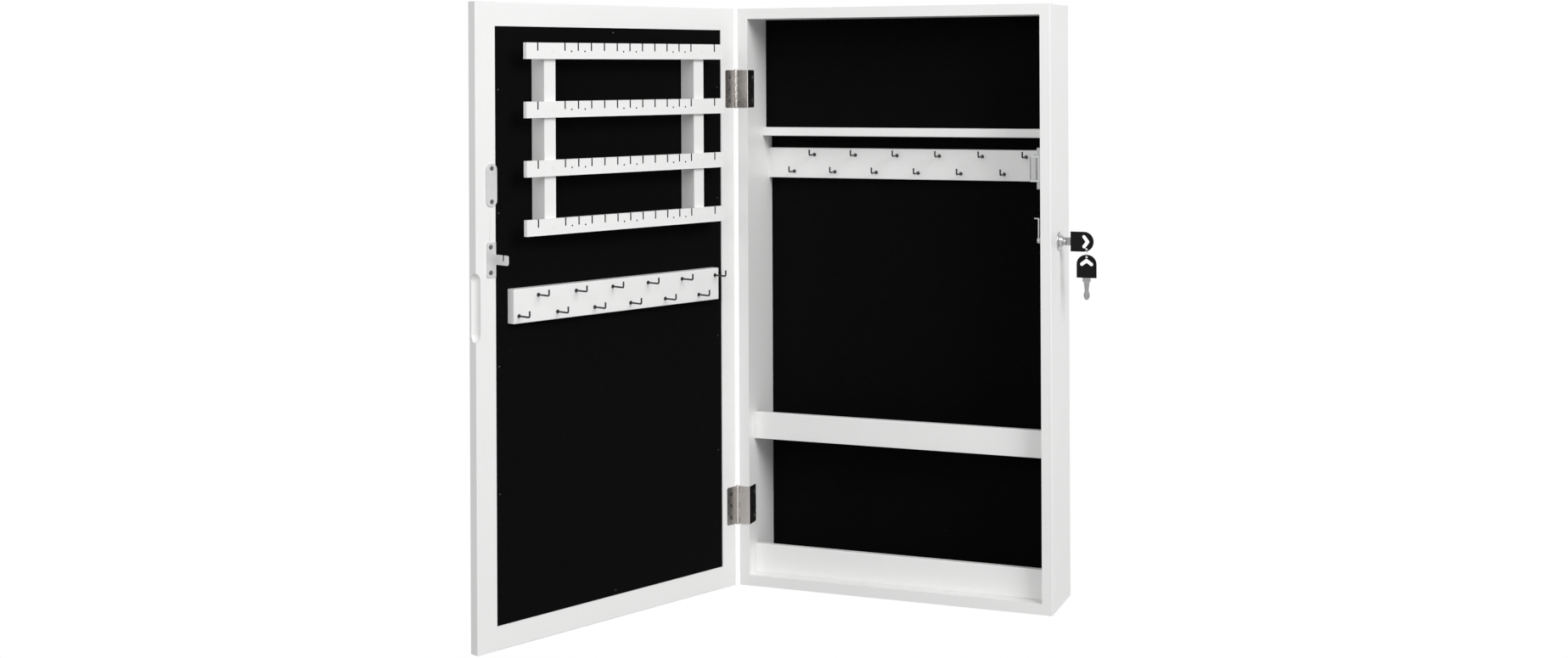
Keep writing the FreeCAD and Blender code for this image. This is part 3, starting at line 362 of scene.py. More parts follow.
# near-black nickel for hooks and brads: painted reflection and shade from the dark felt
nickelPaintedShade = platedMetal("nickelPaintedShade", looks["nickelPaintedShade"])
screwSteel = platedMetal("screwSteel", looks["screwSteel"])
keySteel = platedMetal("keySteel", looks["keySteel"])
# the bars' slot and stud-hole walls get this near-black board as painted shade
slotWallPaintedShade = pressedBoard("slotWallPaintedShade", looks["slotWallPaintedShade"])
nodeSlot = {row["node"]: row["material_slot"] for row in frame["record"]["subparts"]}
for name, slot in nodeSlot.items():
    nodes[name].data.materials.clear()
    nodes[name].data.materials.append(finish[slot])
print("finishes laid on", len(nodes), "nodes")


# tools for making pieces, in millimetres
def vertsOf(geom):
    return [v for v in geom if isinstance(v, bmesh.types.BMVert)]


def edgesOf(geom):
    return [e for e in geom if isinstance(e, bmesh.types.BMEdge)]


def facesOf(geom):
    return [f for f in geom if isinstance(f, bmesh.types.BMFace)]


def finishPiece(form, standsFor, place=None, coats=None, smooth=32.0):
    # turn a form into a piece that stands for its nodes and moves with them
    if place:
        bmesh.ops.transform(form, matrix=place, verts=form.verts)
    words = standsFor[0].split("_")
    name = words[0] + "".join(word.capitalize() for word in words[1:])
    mesh = bpy.data.meshes.new(name)
    form.to_mesh(mesh)
    form.free()
    mesh.shade_smooth()
    mesh.set_sharp_from_angle(angle=radians(smooth))
    for coat in coats or [finish[nodeSlot[standsFor[0]]]]:
        mesh.materials.append(coat)
    piece = bpy.data.objects.new(name, mesh)
    scene.collection.objects.link(piece)
    evenShade = piece.modifiers.new("evenShade", "WEIGHTED_NORMAL")
    evenShade.keep_sharp = True
    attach(piece, nodes[standsFor[0]]["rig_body"])
    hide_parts(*standsFor)


def shapeOf(form):
    # keep a form as a shape that can be stamped many times
    shape = bpy.data.meshes.new("shape")
    form.to_mesh(shape)
    form.free()
    return shape


def stamp(form, shape, place=Matrix.Identity(4)):
    start = len(form.verts)
    form.from_mesh(shape)
    form.verts.ensure_lookup_table()
    bmesh.ops.transform(form, matrix=place, verts=form.verts[start:])


def gather(shape, places):
    form = bmesh.new()
    for place in places:
        stamp(form, shape, place)
    return form


def aimed(place, towards):
    # takes a shape's +Z to a direction, with its own Y kept upright
    return Matrix.Translation(place) @ Vector(towards).to_track_quat("Z", "Y").to_matrix().to_4x4()


def joinUp(form, verts, loop=True):
    return [form.edges.new(pair) for pair in zip(verts, verts[1:] + (verts[:1] if loop else []))]


def lathe(profile, steps=36, loop=False):
    # turn (radius, height) points about Z; a loop is a profile that closes on itself, as a sleeve has
    form = bmesh.new()
    rim = [form.verts.new((radius, 0, height)) for radius, height in profile]
    edges = joinUp(form, rim, loop)
    bmesh.ops.spin(form, geom=rim + edges, axis=(0, 0, 1), cent=(0, 0, 0), angle=2 * pi, steps=steps,
                   use_merge=True)
    bmesh.ops.remove_doubles(form, verts=form.verts, dist=0.0005)
    bmesh.ops.recalc_face_normals(form, faces=form.faces)
    return form


def soften(form, width, segments=2, angle=38.0, keep=None):
    # round the edges that turn more than the angle, or those of them that pass a test on their middle
    sharp = [e for e in form.edges if e.is_manifold and e.calc_face_angle(0.0) > radians(angle)]
    if keep:
        sharp = [e for e in sharp if keep((e.verts[0].co + e.verts[1].co) / 2)]
    if sharp and width:
        bmesh.ops.bevel(form, geom=sharp, offset=width, offset_type="OFFSET", segments=segments,
                        profile=0.5, affect="EDGES", clamp_overlap=True, material=-1)


def block(form, low, high):
    middle = (Vector(low) + Vector(high)) / 2
    size = Vector(high) - Vector(low)
    bmesh.ops.create_cube(form, size=1.0, matrix=Matrix.Translation(middle) @ Matrix.Diagonal((*size, 1)))


def thicken(form, thickness):
    # fill the drawn loops, holes left open, and push the sheet down to a thickness
    bmesh.ops.triangle_fill(form, use_beauty=True, use_dissolve=False, edges=form.edges)
    bmesh.ops.recalc_face_normals(form, faces=form.faces)
    pushed = bmesh.ops.extrude_face_region(form, geom=form.faces[:])
    bmesh.ops.translate(form, vec=(0, 0, -thickness), verts=vertsOf(pushed["geom"]))
    bmesh.ops.recalc_face_normals(form, faces=form.faces)
    bmesh.ops.dissolve_limit(form, angle_limit=radians(0.5), verts=form.verts, edges=form.edges)


def plate(outline, thickness, holes=(), rounds=None, sink=0.0, soft=0.12):
    # flat plate in X and Y with its face at Z 0: round holes (x, y, radius), rounded corners
    form = bmesh.new()
    rim = [form.verts.new((x, y, 0)) for x, y in outline]
    form.faces.new(rim)
    for radius in set((rounds or {}).values()):
        bmesh.ops.bevel(form, geom=[rim[index] for index in rounds if rounds[index] == radius], offset=radius,
                        offset_type="OFFSET", segments=7, profile=0.5, affect="VERTICES",
                        clamp_overlap=True, material=-1)
    bmesh.ops.delete(form, geom=form.faces[:], context="FACES_ONLY")
    for x, y, radius in holes:
        bmesh.ops.create_circle(form, segments=24, radius=radius, matrix=Matrix.Translation((x, y, 0)))
    thicken(form, thickness)
    if sink:
        spots = [(Vector((x, y)), radius) for x, y, radius in holes]
        mouths = [e for e in form.edges if all(abs(v.co.z) < 0.001 and any(
            abs((v.co.xy - spot).length - radius) < 0.01 for spot, radius in spots) for v in e.verts)]
        bmesh.ops.bevel(form, geom=mouths, offset=sink, offset_type="OFFSET", segments=1, profile=0.5,
                        affect="EDGES", clamp_overlap=True, material=-1)
    soften(form, soft, angle=60.0)
    return form


def screwHead(radius, proud, edge, deep=0.5):
    # head with a cross recess, facing +Z, with its seat at Z 0 and a cone below
    form = bmesh.new()
    bmesh.ops.create_circle(form, segments=28, radius=radius - edge, matrix=Matrix.Translation((0, 0, proud)))
    crown = form.edges[:]
    arm, half = radius * 0.58, radius * 0.13
    cross = [form.verts.new(Matrix.Rotation(quarter * pi / 2, 3, "Z") @ Vector((x, y, proud)))
             for quarter in range(4) for x, y in ((arm, -half), (arm, half), (half, half))]
    slot = joinUp(form, cross)
    bmesh.ops.triangle_fill(form, use_beauty=True, use_dissolve=False, edges=form.edges)
    bottom = bmesh.ops.extrude_edge_only(form, edges=slot)["geom"]
    bmesh.ops.scale(form, vec=(0.45, 0.45, 1), verts=vertsOf(bottom))
    bmesh.ops.translate(form, vec=(0, 0, -radius * deep), verts=vertsOf(bottom))
    bmesh.ops.triangle_fill(form, use_beauty=True, use_dissolve=False, edges=edgesOf(bottom))
    for reach, height in ((radius - edge * 0.3, proud - edge * 0.3), (radius, proud - edge),
                          (radius, min(0.0, proud - edge) - 0.05), (radius * 0.45, -radius * 0.75)):
        rim = bmesh.ops.extrude_edge_only(form, edges=crown)["geom"]
        at = vertsOf(rim)
        share = reach / at[0].co.xy.length
        bmesh.ops.scale(form, vec=(share, share, 1), verts=at)
        bmesh.ops.translate(form, vec=(0, 0, height - at[0].co.z), verts=at)
        crown = edgesOf(rim)
    bmesh.ops.triangle_fill(form, use_beauty=True, use_dissolve=False, edges=crown)
    bmesh.ops.recalc_face_normals(form, faces=form.faces)
    return form


def softCopy(node, width, coats=None):
    # the node's own solid with its sharp edges rounded
    form = bmesh.new()
    form.from_mesh(nodes[node].data)
    bmesh.ops.remove_doubles(form, verts=form.verts, dist=0.000002)
    bmesh.ops.dissolve_limit(form, angle_limit=radians(1.0), verts=form.verts, edges=form.edges)
    soften(form, width * 0.001)
    finishPiece(form, [node], coats=coats)


# parts that keep their solid: arrises as sanding, paint and tumbling leave them
arris = {"rack_upright_hinge_side": 0.5, "rack_upright_free_side": 0.5, "door_hook_rail": 0.4,
         "body_hook_rail": 0.4, "ledge": 0.5, "middle_tray_lip": 0.5, "bottom_tray_lip": 0.5,
         "middle_tray_base": 0.3, "hanging_rail": 0.4, "lock_cam": 0.2, "lock_keeper": 0.15,
         "catch_housing": 0.3, "catch_magnet": 0.1, "catch_pole_plates": 0.08, "lock_plug": 0.2,
         "key_one_blade": 0.2, "key_two_blade": 0.2, "side_panel_left": 0, "side_panel_right": 0,
         "top_panel": 0, "bottom_panel": 0, "door_stile_free": 0, "door_stile_hinge": 0,
         "door_rail_top": 0, "door_rail_bottom": 0}
otherCoat = {"key_one_blade": [keySteel], "key_two_blade": [keySteel], "catch_pole_plates": [screwSteel],
             "lock_keeper": [finish["zinc_steel"]]}
for node, width in arris.items():
    softCopy(node, width, otherCoat.get(node))
print("arrises rounded:", len(arris), "pieces")

# earring bars: sawn slots in the upper edge and small holes for studs
bars = {"middle": 181.8, "length": 283.6, "front": 23.3, "thickness": 5.0, "height": 17.0, "top": 627.8,
        "pitch": 61.2, "slotPitch": 18.12, "slotWidth": 1.7, "slotDepth": 8.4, "studDrop": 8.8,
        "studRadius": 0.95, "slots": (-7, -5, -4, -3, -2, -1, 0, 1, 2, 3, 4, 5, 7),
        "studs": (-4.5, -3.5, -0.5, 0.5, 3.5, 4.5), "screwSpread": 106.9, "count": 4, "soft": 0.3,
        "slack": 0.02, "faceSlack": 0.05}
half = bars["length"] / 2
comb = [(-half, 0), (-half, -bars["height"]), (half, -bars["height"]), (half, 0)]
for place in reversed(bars["slots"]):
    slotX = place * bars["slotPitch"]
    slotHalf = bars["slotWidth"] / 2
    comb += [(slotX + slotHalf, 0), (slotX + slotHalf, -bars["slotDepth"]),
             (slotX - slotHalf, -bars["slotDepth"]), (slotX - slotHalf, 0)]
studs = [(place * bars["slotPitch"], -bars["studDrop"], bars["studRadius"]) for place in bars["studs"]]
barForm = plate(comb, bars["thickness"], studs, soft=bars["soft"])
slack, inside = bars["slack"], bars["faceSlack"]
for face in barForm.faces:  # sawn and drilled walls: bare board, coated near black as painted shade for the deep narrow hollows
    at = face.calc_center_median()
    inSlot = any(abs(at.x - place * bars["slotPitch"]) < bars["slotWidth"] / 2 + slack for place in bars["slots"])
    inStud = any((at.xy - Vector((x, y))).length < radius + slack for x, y, radius in studs)
    if inStud or (inSlot and at.y > -bars["slotDepth"] - slack and inside - bars["thickness"] < at.z < -inside):
        face.material_index = 1
barShape = shapeOf(barForm)
barTops = [bars["top"] - index * bars["pitch"] for index in range(bars["count"])]
for number, top in enumerate(barTops, 1):
    place = aimed((bars["middle"], bars["front"], top), (0, 1, 0))
    # second coat: painted shade on the slot and stud-hole walls
    finishPiece(gather(barShape, [place]), ["earring_bar_" + str(number)], doorToRow,
                [finish["white_paint"], slotWallPaintedShade])

# painted-over screws that hold the bars
rackHead = shapeOf(screwHead(radius=2.8, proud=0.12, edge=0.3, deep=0.16))
rackSpots = [aimed((bars["middle"] + side * bars["screwSpread"], bars["front"], top - bars["height"] / 2),
                   (0, 1, 0)) for top in barTops for side in (-1, 1)]
finishPiece(gather(rackHead, rackSpots), ["rack_screws"], doorToRow)
print("earring rack made")

# necklace hooks: bent wire with a collar, reaching along +Y from its seat, tip up
hook = {"wire": 0.95, "run": 15.95, "bend": 1.9, "tip": 6.6, "thread": 6.0, "collar": 2.1,
        "collarThickness": 1.0, "pitch": 25.6, "rowOffset": 10.0, "count": 12}
hookRails = {
    "body_hooks": {"firstX": 44.2, "seatY": 67.0, "middleZ": 488.45, "lowerFirst": True, "turn": pi,
                   "toRow": toRow},
    "door_hooks": {"firstX": 41.0, "seatY": 7.8, "middleZ": 354.25, "lowerFirst": False, "turn": 0.0,
                   "toRow": doorToRow},
}


def hookShape():
    form = bmesh.new()
    level = Matrix.Rotation(-pi / 2, 4, "X")
    bmesh.ops.create_circle(form, segments=14, radius=hook["wire"],
                            matrix=Matrix.Translation((0, -hook["thread"], 0)) @ level)
    start = form.edges[:]
    run = bmesh.ops.extrude_edge_only(form, edges=start)["geom"]
    bmesh.ops.translate(form, vec=(0, hook["thread"] + hook["run"], 0), verts=vertsOf(run))
    bent = bmesh.ops.spin(form, geom=vertsOf(run) + edgesOf(run), cent=(0, hook["run"], hook["bend"]),
                          axis=(1, 0, 0), angle=pi / 2, steps=8, use_merge=False)
    end = edgesOf(bent["geom_last"])
    middle = Vector((0, hook["run"] + hook["bend"], 0))
    for height, share in ((hook["tip"] - 0.35, 1.0), (hook["tip"] - 0.1, 0.86), (hook["tip"], 0.55)):
        rise = bmesh.ops.extrude_edge_only(form, edges=end)["geom"]
        at = vertsOf(rise)
        reach = hook["wire"] * share / max((v.co.xy - middle.xy).length for v in at)
        bmesh.ops.scale(form, vec=(reach, reach, 1), verts=at, space=Matrix.Translation(-middle))
        bmesh.ops.translate(form, vec=(0, 0, height - at[0].co.z), verts=at)
        end = edgesOf(rise)
    bmesh.ops.triangle_fill(form, use_beauty=True, edges=end)
    bmesh.ops.triangle_fill(form, use_beauty=True, edges=start)
    wire, thick, rim = hook["wire"], hook["collarThickness"], hook["collar"]
    collar = lathe([(wire, 0), (rim - 0.2, 0), (rim, 0.2), (rim, thick - 0.35), (rim - 0.35, thick),
                    (wire, thick)], 20, loop=True)
    stamp(form, shapeOf(collar), level)
    bmesh.ops.recalc_face_normals(form, faces=form.faces)
    return shapeOf(form)


def hookPlaces(rail):
    places = []
    for index in range(hook["count"]):
        side = -1 if (index % 2 == 0) == rail["lowerFirst"] else 1
        seat = (rail["firstX"] + index * hook["pitch"], rail["seatY"], rail["middleZ"] + side * hook["rowOffset"])
        places.append(Matrix.Translation(seat) @ Matrix.Rotation(rail["turn"], 4, "Z"))
    return places


oneHook = hookShape()
# the hooks get the darkened nickel, a painted reflection of the felt
for node, rail in hookRails.items():
    finishPiece(gather(oneHook, hookPlaces(rail)), [node], rail["toRow"], [nickelPaintedShade])
print("hooks made")

# brads that hold the door's felt panel
brad = {"radius": 0.9, "proud": 0.25, "sides": (26.0, 339.8), "heights": (160.5, 292.5, 451.2, 579.1),
        "middle": 182.9, "ends": (30.2, 639.8), "shank": 3.0}
bradShape = shapeOf(lathe([(0, brad["proud"]), (brad["radius"] * 0.6, brad["proud"] * 0.8),
                           (brad["radius"], 0), (brad["radius"] * 0.5, -brad["shank"]),
                           (0, -brad["shank"])], 16))
bradSpots = [(x, z) for x in brad["sides"] for z in brad["heights"]]
bradSpots += [(brad["middle"], z) for z in brad["ends"]]
finishPiece(gather(bradShape, [aimed((x, door["felt"], z), (0, 1, 0)) for x, z in bradSpots]),
            ["felt_pins"], doorToRow, [nickelPaintedShade])

# butt hinges: rolled knuckles, a pin, a body leaf that wraps the panel and a flat door leaf
hinge = {"middles": (93.0, 577.0), "height": 43.6, "leaf": 0.8, "knuckle": 2.25, "knuckles": 5, "gap": 0.45,
         "pin": 1.4, "pinHead": 1.9, "pinHeadHeight": 0.9, "doorWidth": 14.0, "flangeX": 12.0,
         "flangeDepth": 18.5, "corner": 2.0, "screwOffset": 13.6, "screwInset": 6.3, "screwRadius": 2.5,
         "boreClear": 0.06, "lip": 0.5, "shoulder": 0.15, "tabReach": 0.4, "soft": 0.1}


def rolledKnuckles(form, own):
    # barrels of one leaf and the tabs that join them to it
    step = hinge["height"] / hinge["knuckles"]
    leafY = -hinge["leaf"] if own == 0 else door["inner"]
    for index in range(own, hinge["knuckles"], 2):
        low = -hinge["height"] / 2 + index * step + (hinge["gap"] / 2 if index else 0)
        last = index == hinge["knuckles"] - 1
        high = -hinge["height"] / 2 + (index + 1) * step - (0 if last else hinge["gap"] / 2)
        r, bore, lip, cut = hinge["knuckle"], hinge["pin"] + hinge["boreClear"], hinge["lip"], hinge["shoulder"]
        sleeve = lathe([(bore, low), (r - lip, low), (r - cut, low + cut), (r, low + lip), (r, high - lip),
                        (r - cut, high - cut), (r - lip, high), (bore, high)], 30, loop=True)
        stamp(form, shapeOf(sleeve), pinPlace)
        tab = bmesh.new()
        block(tab, (door["pinX"], leafY, low), (hinge["tabReach"], leafY + hinge["leaf"], high))
        soften(tab, hinge["soft"])
        stamp(form, shapeOf(tab))


def bodyLeafShape():
    tall, thick, flange, deep = hinge["height"] / 2, hinge["leaf"], hinge["flangeX"], hinge["flangeDepth"]
    form = bmesh.new()
    rolledKnuckles(form, 0)
    holes = [(z, deep - hinge["screwInset"], hinge["screwRadius"])
             for z in (-hinge["screwOffset"], hinge["screwOffset"])]
    side = plate([(-tall, 0), (tall, 0), (tall, deep), (-tall, deep)], thick, holes,
                 {2: hinge["corner"], 3: hinge["corner"]}, soft=0)
    soften(side, hinge["soft"], angle=60, keep=lambda middle: middle.y > 0.01)  # the bend's edge stays
    # the plate's X becomes -Z, its Y stays, and its face looks to +X
    stamp(form, shapeOf(side), Matrix.Translation((flange + thick, 0, 0)) @ Matrix.Rotation(pi / 2, 4, "Y"))
    bend = bmesh.new()
    rim = [bend.verts.new(spot) for spot in ((flange, 0, -tall), (flange + thick, 0, -tall),
                                            (flange + thick, 0, tall), (flange, 0, tall))]
    turned = bmesh.ops.spin(bend, geom=[bend.faces.new(rim)], cent=(flange, 0, 0), axis=(0, 0, 1),
                            angle=-pi / 2, steps=8, use_merge=False)
    front = bmesh.ops.extrude_face_region(bend, geom=facesOf(turned["geom_last"]))
    bmesh.ops.translate(bend, vec=(-flange, 0, 0), verts=vertsOf(front["geom"]))
    bmesh.ops.recalc_face_normals(bend, faces=bend.faces)
    stamp(form, shapeOf(bend))
    return shapeOf(form)


def doorLeafShape():
    tall, wide = hinge["height"] / 2, hinge["doorWidth"]
    form = bmesh.new()
    rolledKnuckles(form, 1)
    holes = [(hinge["screwInset"] - wide, z, hinge["screwRadius"])
             for z in (-hinge["screwOffset"], 0, hinge["screwOffset"])]
    leaf = plate([(0, -tall), (0, tall), (-wide, tall), (-wide, -tall)], hinge["leaf"], holes,
                 {2: hinge["corner"], 3: hinge["corner"]}, soft=hinge["soft"])
    stamp(form, shapeOf(leaf), aimed((0, door["inner"] + hinge["leaf"], 0), (0, 1, 0)))
    return shapeOf(form)


levels = [Matrix.Translation((0, 0, z)) for z in hinge["middles"]]
bodyLeaf = bodyLeafShape()
doorLeaf = doorLeafShape()
for place, which in zip(levels, ("lower", "upper")):
    finishPiece(gather(bodyLeaf, [place]), [which + "_hinge_body_leaf"], toRow)
    finishPiece(gather(doorLeaf, [place]), [which + "_hinge_door_leaf"], doorToRow)
pinTall = hinge["height"] / 2
headR, headH = hinge["pinHead"], hinge["pinHeadHeight"]
pinHalf = [(headR * 0.5, pinTall + headH), (headR - 0.25, pinTall + headH - 0.12),
           (headR, pinTall + headH - 0.4), (headR, pinTall + 0.02), (hinge["pin"], pinTall)]
pinProfile = [(0, pinTall + headH)] + pinHalf + [(r, -z) for r, z in reversed(pinHalf)] + [(0, -pinTall - headH)]
finishPiece(gather(shapeOf(lathe(pinProfile, 28)), [place @ pinPlace for place in levels]),
            ["hinge_pins"], toRow)
sunkHead = shapeOf(screwHead(radius=hinge["screwRadius"] - 0.08, proud=-0.04, edge=0.25))
offsets = (-hinge["screwOffset"], hinge["screwOffset"])
bodySpots = [(hinge["flangeX"] + hinge["leaf"], hinge["flangeDepth"] - hinge["screwInset"], z + offset)
             for z in hinge["middles"] for offset in offsets]
finishPiece(gather(sunkHead, [aimed(spot, (1, 0, 0)) for spot in bodySpots]), ["hinge_body_screws"], toRow,
            [screwSteel])
doorSpots = [(hinge["doorWidth"] - hinge["screwInset"], door["inner"] + hinge["leaf"], z + offset)
             for z in hinge["middles"] for offset in (*offsets, 0)]
finishPiece(gather(sunkHead, [aimed(spot, (0, 1, 0)) for spot in doorSpots]), ["hinge_door_screws"], doorToRow,
            [screwSteel])
print("hinges made")

# magnetic catch: screws in its ears, and the plate on the door that the magnet pulls
catch = {"middle": 488.8, "screwX": 353.5, "screwY": 8.9, "screwOffset": 18.75, "screwRadius": 3.1}
panHead = shapeOf(screwHead(catch["screwRadius"], proud=0.5, edge=0.45, deep=0.3))
catchSpots = [aimed((catch["screwX"], catch["screwY"], catch["middle"] + side * catch["screwOffset"]),
                    (-1, 0, 0)) for side in (-1, 1)]
finishPiece(gather(panHead, catchSpots), ["catch_screws"], toRow, [screwSteel])
strike = {"x": 350.6, "middle": 481.0, "width": 13.5, "height": 44.8, "thickness": 1.5, "holeSpacing": 34.4,
          "holeRadius": 2.5}
halfWide, halfTall = strike["width"] / 2, strike["height"] / 2
strikeOutline = [(-halfWide, -halfTall), (halfWide, -halfTall), (halfWide, halfTall), (-halfWide, halfTall)]
strikeHoles = [(0, side * strike["holeSpacing"] / 2, strike["holeRadius"]) for side in (-1, 1)]
strikeForm = plate(strikeOutline, strike["thickness"], strikeHoles,
                   {corner: halfWide - 0.01 for corner in range(4)}, soft=0.2)
strikeFace = door["inner"] + strike["thickness"]
finishPiece(gather(shapeOf(strikeForm), [aimed((strike["x"], strikeFace, strike["middle"]), (0, 1, 0))]),
            ["strike_plate"], doorToRow)

# screws of the strike plate sit a little deep; those of the keeper stand a little proud
keeper = {"screwX": 352.1, "face": -0.5, "middle": 404.0, "screwOffset": 13.2, "screwRadius": 2.6}
deepHead = shapeOf(screwHead(radius=2.35, proud=-0.3, edge=0.25))
keeperHead = shapeOf(screwHead(keeper["screwRadius"], proud=0.3, edge=0.3, deep=0.4))
plateScrews = bmesh.new()
for side in (-1, 1):
    stamp(plateScrews, deepHead, aimed((strike["x"], strikeFace,
                                        strike["middle"] + side * strike["holeSpacing"] / 2), (0, 1, 0)))
    stamp(plateScrews, keeperHead, aimed((keeper["screwX"], keeper["face"],
                                          keeper["middle"] + side * keeper["screwOffset"]), (0, 1, 0)))
finishPiece(plateScrews, ["keeper_screws"], doorToRow, [screwSteel])
print("catch and plates made")

# lock: threaded barrel with a flange and a tapered nose, hexagon nut, cam screw
lock = {"y": 37.0, "z": 407.0, "start": 349.8, "panelOuter": 370.0, "barrel": 8.0, "flange": 10.5,
        "flangeThickness": 1.5, "noseBase": 7.2, "noseTip": 5.8, "nose": 3.6, "bore": 4.6, "thread": 1.0,
        "threadStart": 0.9, "turns": 7, "groove": 0.45, "relief": 8.4, "nutThickness": 3.5, "nutFlats": 21.0,
        "camScrewX": 345.7, "camScrewSeat": 1.6, "camScrewRadius": 3.6}


def barrelForm():
    long = lock["panelOuter"] - lock["start"]
    r, tip, flange = lock["barrel"], long + lock["flangeThickness"], lock["flange"]
    profile = [(lock["bore"], 0.0), (r - 0.7, 0.0), (r - 0.3, 0.4)]
    for turn in range(lock["turns"]):
        at, root = lock["threadStart"] + turn * lock["thread"], r - lock["groove"]
        profile += [(r, at), (r, at + 0.1), (root, at + 0.5), (root, at + 0.55)]
    profile += [(r, lock["relief"]), (r, long), (flange - 0.15, long), (flange, long + 0.15), (flange, tip - 0.9),
                (flange - 0.25, tip - 0.55), (flange - 0.75, tip - 0.12), (flange - 1.2, tip),
                (lock["noseBase"] + 0.3, tip), (lock["noseBase"], tip + 0.25),
                (lock["noseTip"] + 0.25, tip + lock["nose"] - 0.35),
                (lock["noseTip"] - 0.25, tip + lock["nose"]), (lock["bore"] + 0.15, tip + lock["nose"]),
                (lock["bore"], tip + lock["nose"] - 0.15)]
    return lathe(profile, 56, loop=True)


lockStart = aimed((lock["start"], lock["y"], lock["z"]), (1, 0, 0))
finishPiece(gather(shapeOf(barrelForm()), [lockStart]), ["lock_barrel"], toRow, smooth=40.0)
corner = lock["nutFlats"] / sqrt(3)
hexagon = [(corner * cos(pi / 2 + step * pi / 3), corner * sin(pi / 2 + step * pi / 3)) for step in range(6)]
nut = plate(hexagon, lock["nutThickness"], [(0, 0, lock["barrel"] + 0.02)], soft=0.35)
nutPlace = aimed((cabinet["innerRight"] - lock["nutThickness"], lock["y"], lock["z"]), (-1, 0, 0))
finishPiece(gather(shapeOf(nut), [nutPlace]), ["lock_nut"], toRow)
camHead = shapeOf(screwHead(lock["camScrewRadius"], proud=1.55, edge=0.8, deep=0.3))
camPlace = aimed((lock["camScrewX"] + lock["camScrewSeat"], lock["y"], lock["z"]), (-1, 0, 0))
finishPiece(gather(camHead, [camPlace]), ["cam_screw"], toRow)
print("lock made")

# keys: moulded bows with a raised rim, a chevron window and a hole for the split ring
key = {"width": 22.0, "length": 25.6, "shoulder": 15.0, "thickness": 2.4, "rim": 1.2, "rimHeight": 0.35,
       "windowRadius": 2.0, "windowDrop": 6.6, "windowFall": 4.0, "windowHalf": 5.4, "hole": 1.3,
       "holeInset": 2.6, "panelInset": 0.6, "panelSoft": 0.15, "rimSoft": 0.3, "oneX": 383.3, "twoX": 401.0,
       "twoZ": 367.2}


def archLoop(form, inset):
    # bow outline in X and Y: straight foot and sides, arched top
    half = key["width"] / 2 - inset
    shoulder, rise = key["shoulder"], key["length"] - inset - key["shoulder"]
    side = form.verts.new((half, shoulder, 0))
    before = set(form.verts)
    arch = bmesh.ops.spin(form, geom=[side], cent=(0, shoulder, 0), axis=(0, 0, 1), angle=pi, steps=30,
                          use_merge=False)
    crown = [v for v in form.verts if v not in before]
    if min(v.co.y for v in crown) < shoulder - 0.01:  # the arc was spun below the shoulder
        bmesh.ops.scale(form, vec=(1, -1, 1), verts=crown, space=Matrix.Translation((0, -shoulder, 0)))
    bmesh.ops.scale(form, vec=(1, rise / half, 1), verts=crown, space=Matrix.Translation((0, -shoulder, 0)))
    feet = [form.verts.new((half, inset, 0)), form.verts.new((-half, inset, 0))]
    joinUp(form, [side] + feet + vertsOf(arch["geom_last"]), loop=False)


def chevronLoop(form):
    # rounded chevron: an arc at each foot, a crown above and a notch below
    r, half = key["windowRadius"], key["windowHalf"]
    apex = key["length"] - key["windowDrop"]
    foot = apex - key["windowFall"]
    lean = atan2(key["windowFall"], half)
    footArc = [-pi / 2 - lean + pi * step / 8 for step in range(9)]
    crownArc = [pi / 2 - lean + 2 * lean * step / 4 for step in range(5)]
    right = [(half + r * cos(at), foot + r * sin(at)) for at in footArc]
    points = right + [(r * cos(at), apex + r * sin(at)) for at in crownArc]
    points += [(-x, y) for x, y in reversed(right)] + [(0, apex - r / cos(lean))]
    joinUp(form, [form.verts.new((x, y, 0)) for x, y in points])


def slab(form, thickness, soft):
    thicken(form, thickness)
    bmesh.ops.translate(form, vec=(0, 0, thickness / 2), verts=form.verts)
    soften(form, soft, angle=50.0)
    return shapeOf(form)


def bowShape(holeX, holeY):
    panel = bmesh.new()
    archLoop(panel, key["panelInset"])
    chevronLoop(panel)
    bmesh.ops.create_circle(panel, segments=20, radius=key["hole"],
                            matrix=Matrix.Translation((holeX, holeY, 0)))
    rim = bmesh.new()
    archLoop(rim, 0.0)
    archLoop(rim, key["rim"])
    form = bmesh.new()
    stamp(form, slab(panel, key["thickness"] - 2 * key["rimHeight"], key["panelSoft"]))
    stamp(form, slab(rim, key["thickness"], key["rimSoft"]))
    return shapeOf(form)


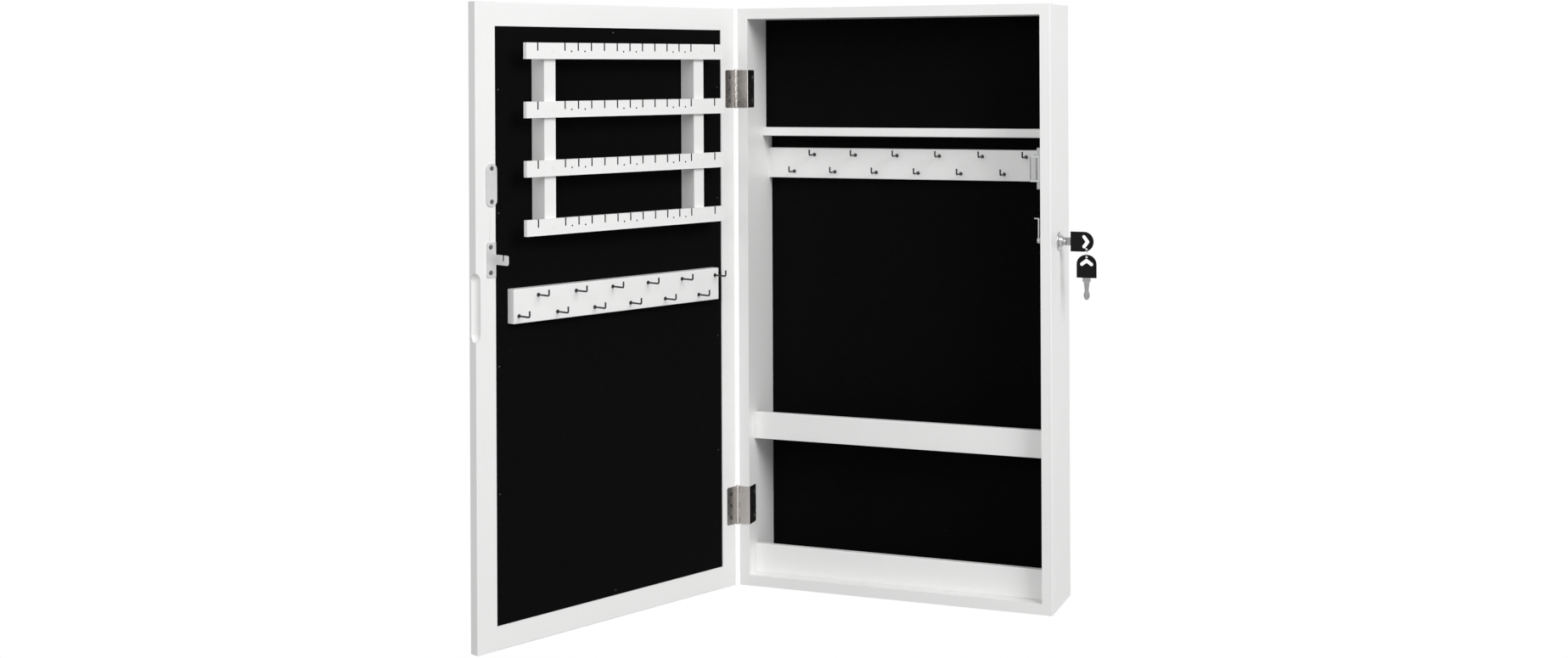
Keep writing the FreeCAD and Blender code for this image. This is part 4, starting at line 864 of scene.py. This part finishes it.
# the drawn outline's Y goes to the key's +Z, and its Z to -Y
upright = Matrix.Rotation(pi / 2, 4, "X")
keyOneHole = (key["width"] / 2 - key["holeInset"], key["twoX"] - key["oneX"])
keyOnePlace = Matrix.Translation((key["oneX"], lock["y"], lock["z"])) @ Matrix.Rotation(pi / 2, 4, "Y") @ upright
finishPiece(gather(bowShape(*keyOneHole), [keyOnePlace]), ["key_one_bow"], toRow)
keyTwoPlace = Matrix.Translation((key["twoX"], lock["y"], key["twoZ"])) @ upright
finishPiece(gather(bowShape(0.0, key["length"] - key["holeInset"]), [keyTwoPlace]), ["key_two_bow"], toRow)

# split ring: two turns of wire side by side
ring = {"x": 401.0, "z": 394.4, "radius": 4.2, "wire": 0.27, "spread": 0.46, "steps": 120}
ringForm = bmesh.new()
bmesh.ops.create_circle(ringForm, segments=10, radius=ring["wire"],
                        matrix=Matrix.Translation((ring["radius"], 0, -ring["spread"] / 2))
                        @ Matrix.Rotation(pi / 2, 4, "X"))
ringStart = ringForm.edges[:]
coil = bmesh.ops.spin(ringForm, geom=ringForm.verts[:] + ringStart, cent=(0, 0, 0), axis=(0, 0, 1),
                      angle=4 * pi, steps=ring["steps"], use_merge=False,
                      dvec=(0, 0, ring["spread"] / ring["steps"]))
for rimEdges in (ringStart, edgesOf(coil["geom_last"])):
    bmesh.ops.triangle_fill(ringForm, use_beauty=True, edges=rimEdges)
bmesh.ops.recalc_face_normals(ringForm, faces=ringForm.faces)
finishPiece(gather(shapeOf(ringForm), [aimed((ring["x"], lock["y"], ring["z"]), (1, 0, 0))]),
            ["key_ring"], toRow)
print("keys and ring made")

# screws of the keyhole hangers on the back
hanger = {"columns": (75.0, 295.0), "middle": 616.5, "screwOffset": 16.5, "screwRadius": 3.2}
hangerHead = shapeOf(screwHead(hanger["screwRadius"] - 0.05, proud=-0.05, edge=0.3))
hangerSpots = [aimed((x, cabinet["depth"], hanger["middle"] + side * hanger["screwOffset"]), (0, 1, 0))
               for x in hanger["columns"] for side in (-1, 1)]
finishPiece(gather(hangerHead, hangerSpots), ["hanger_screws"], toRow)
print("hangers made")
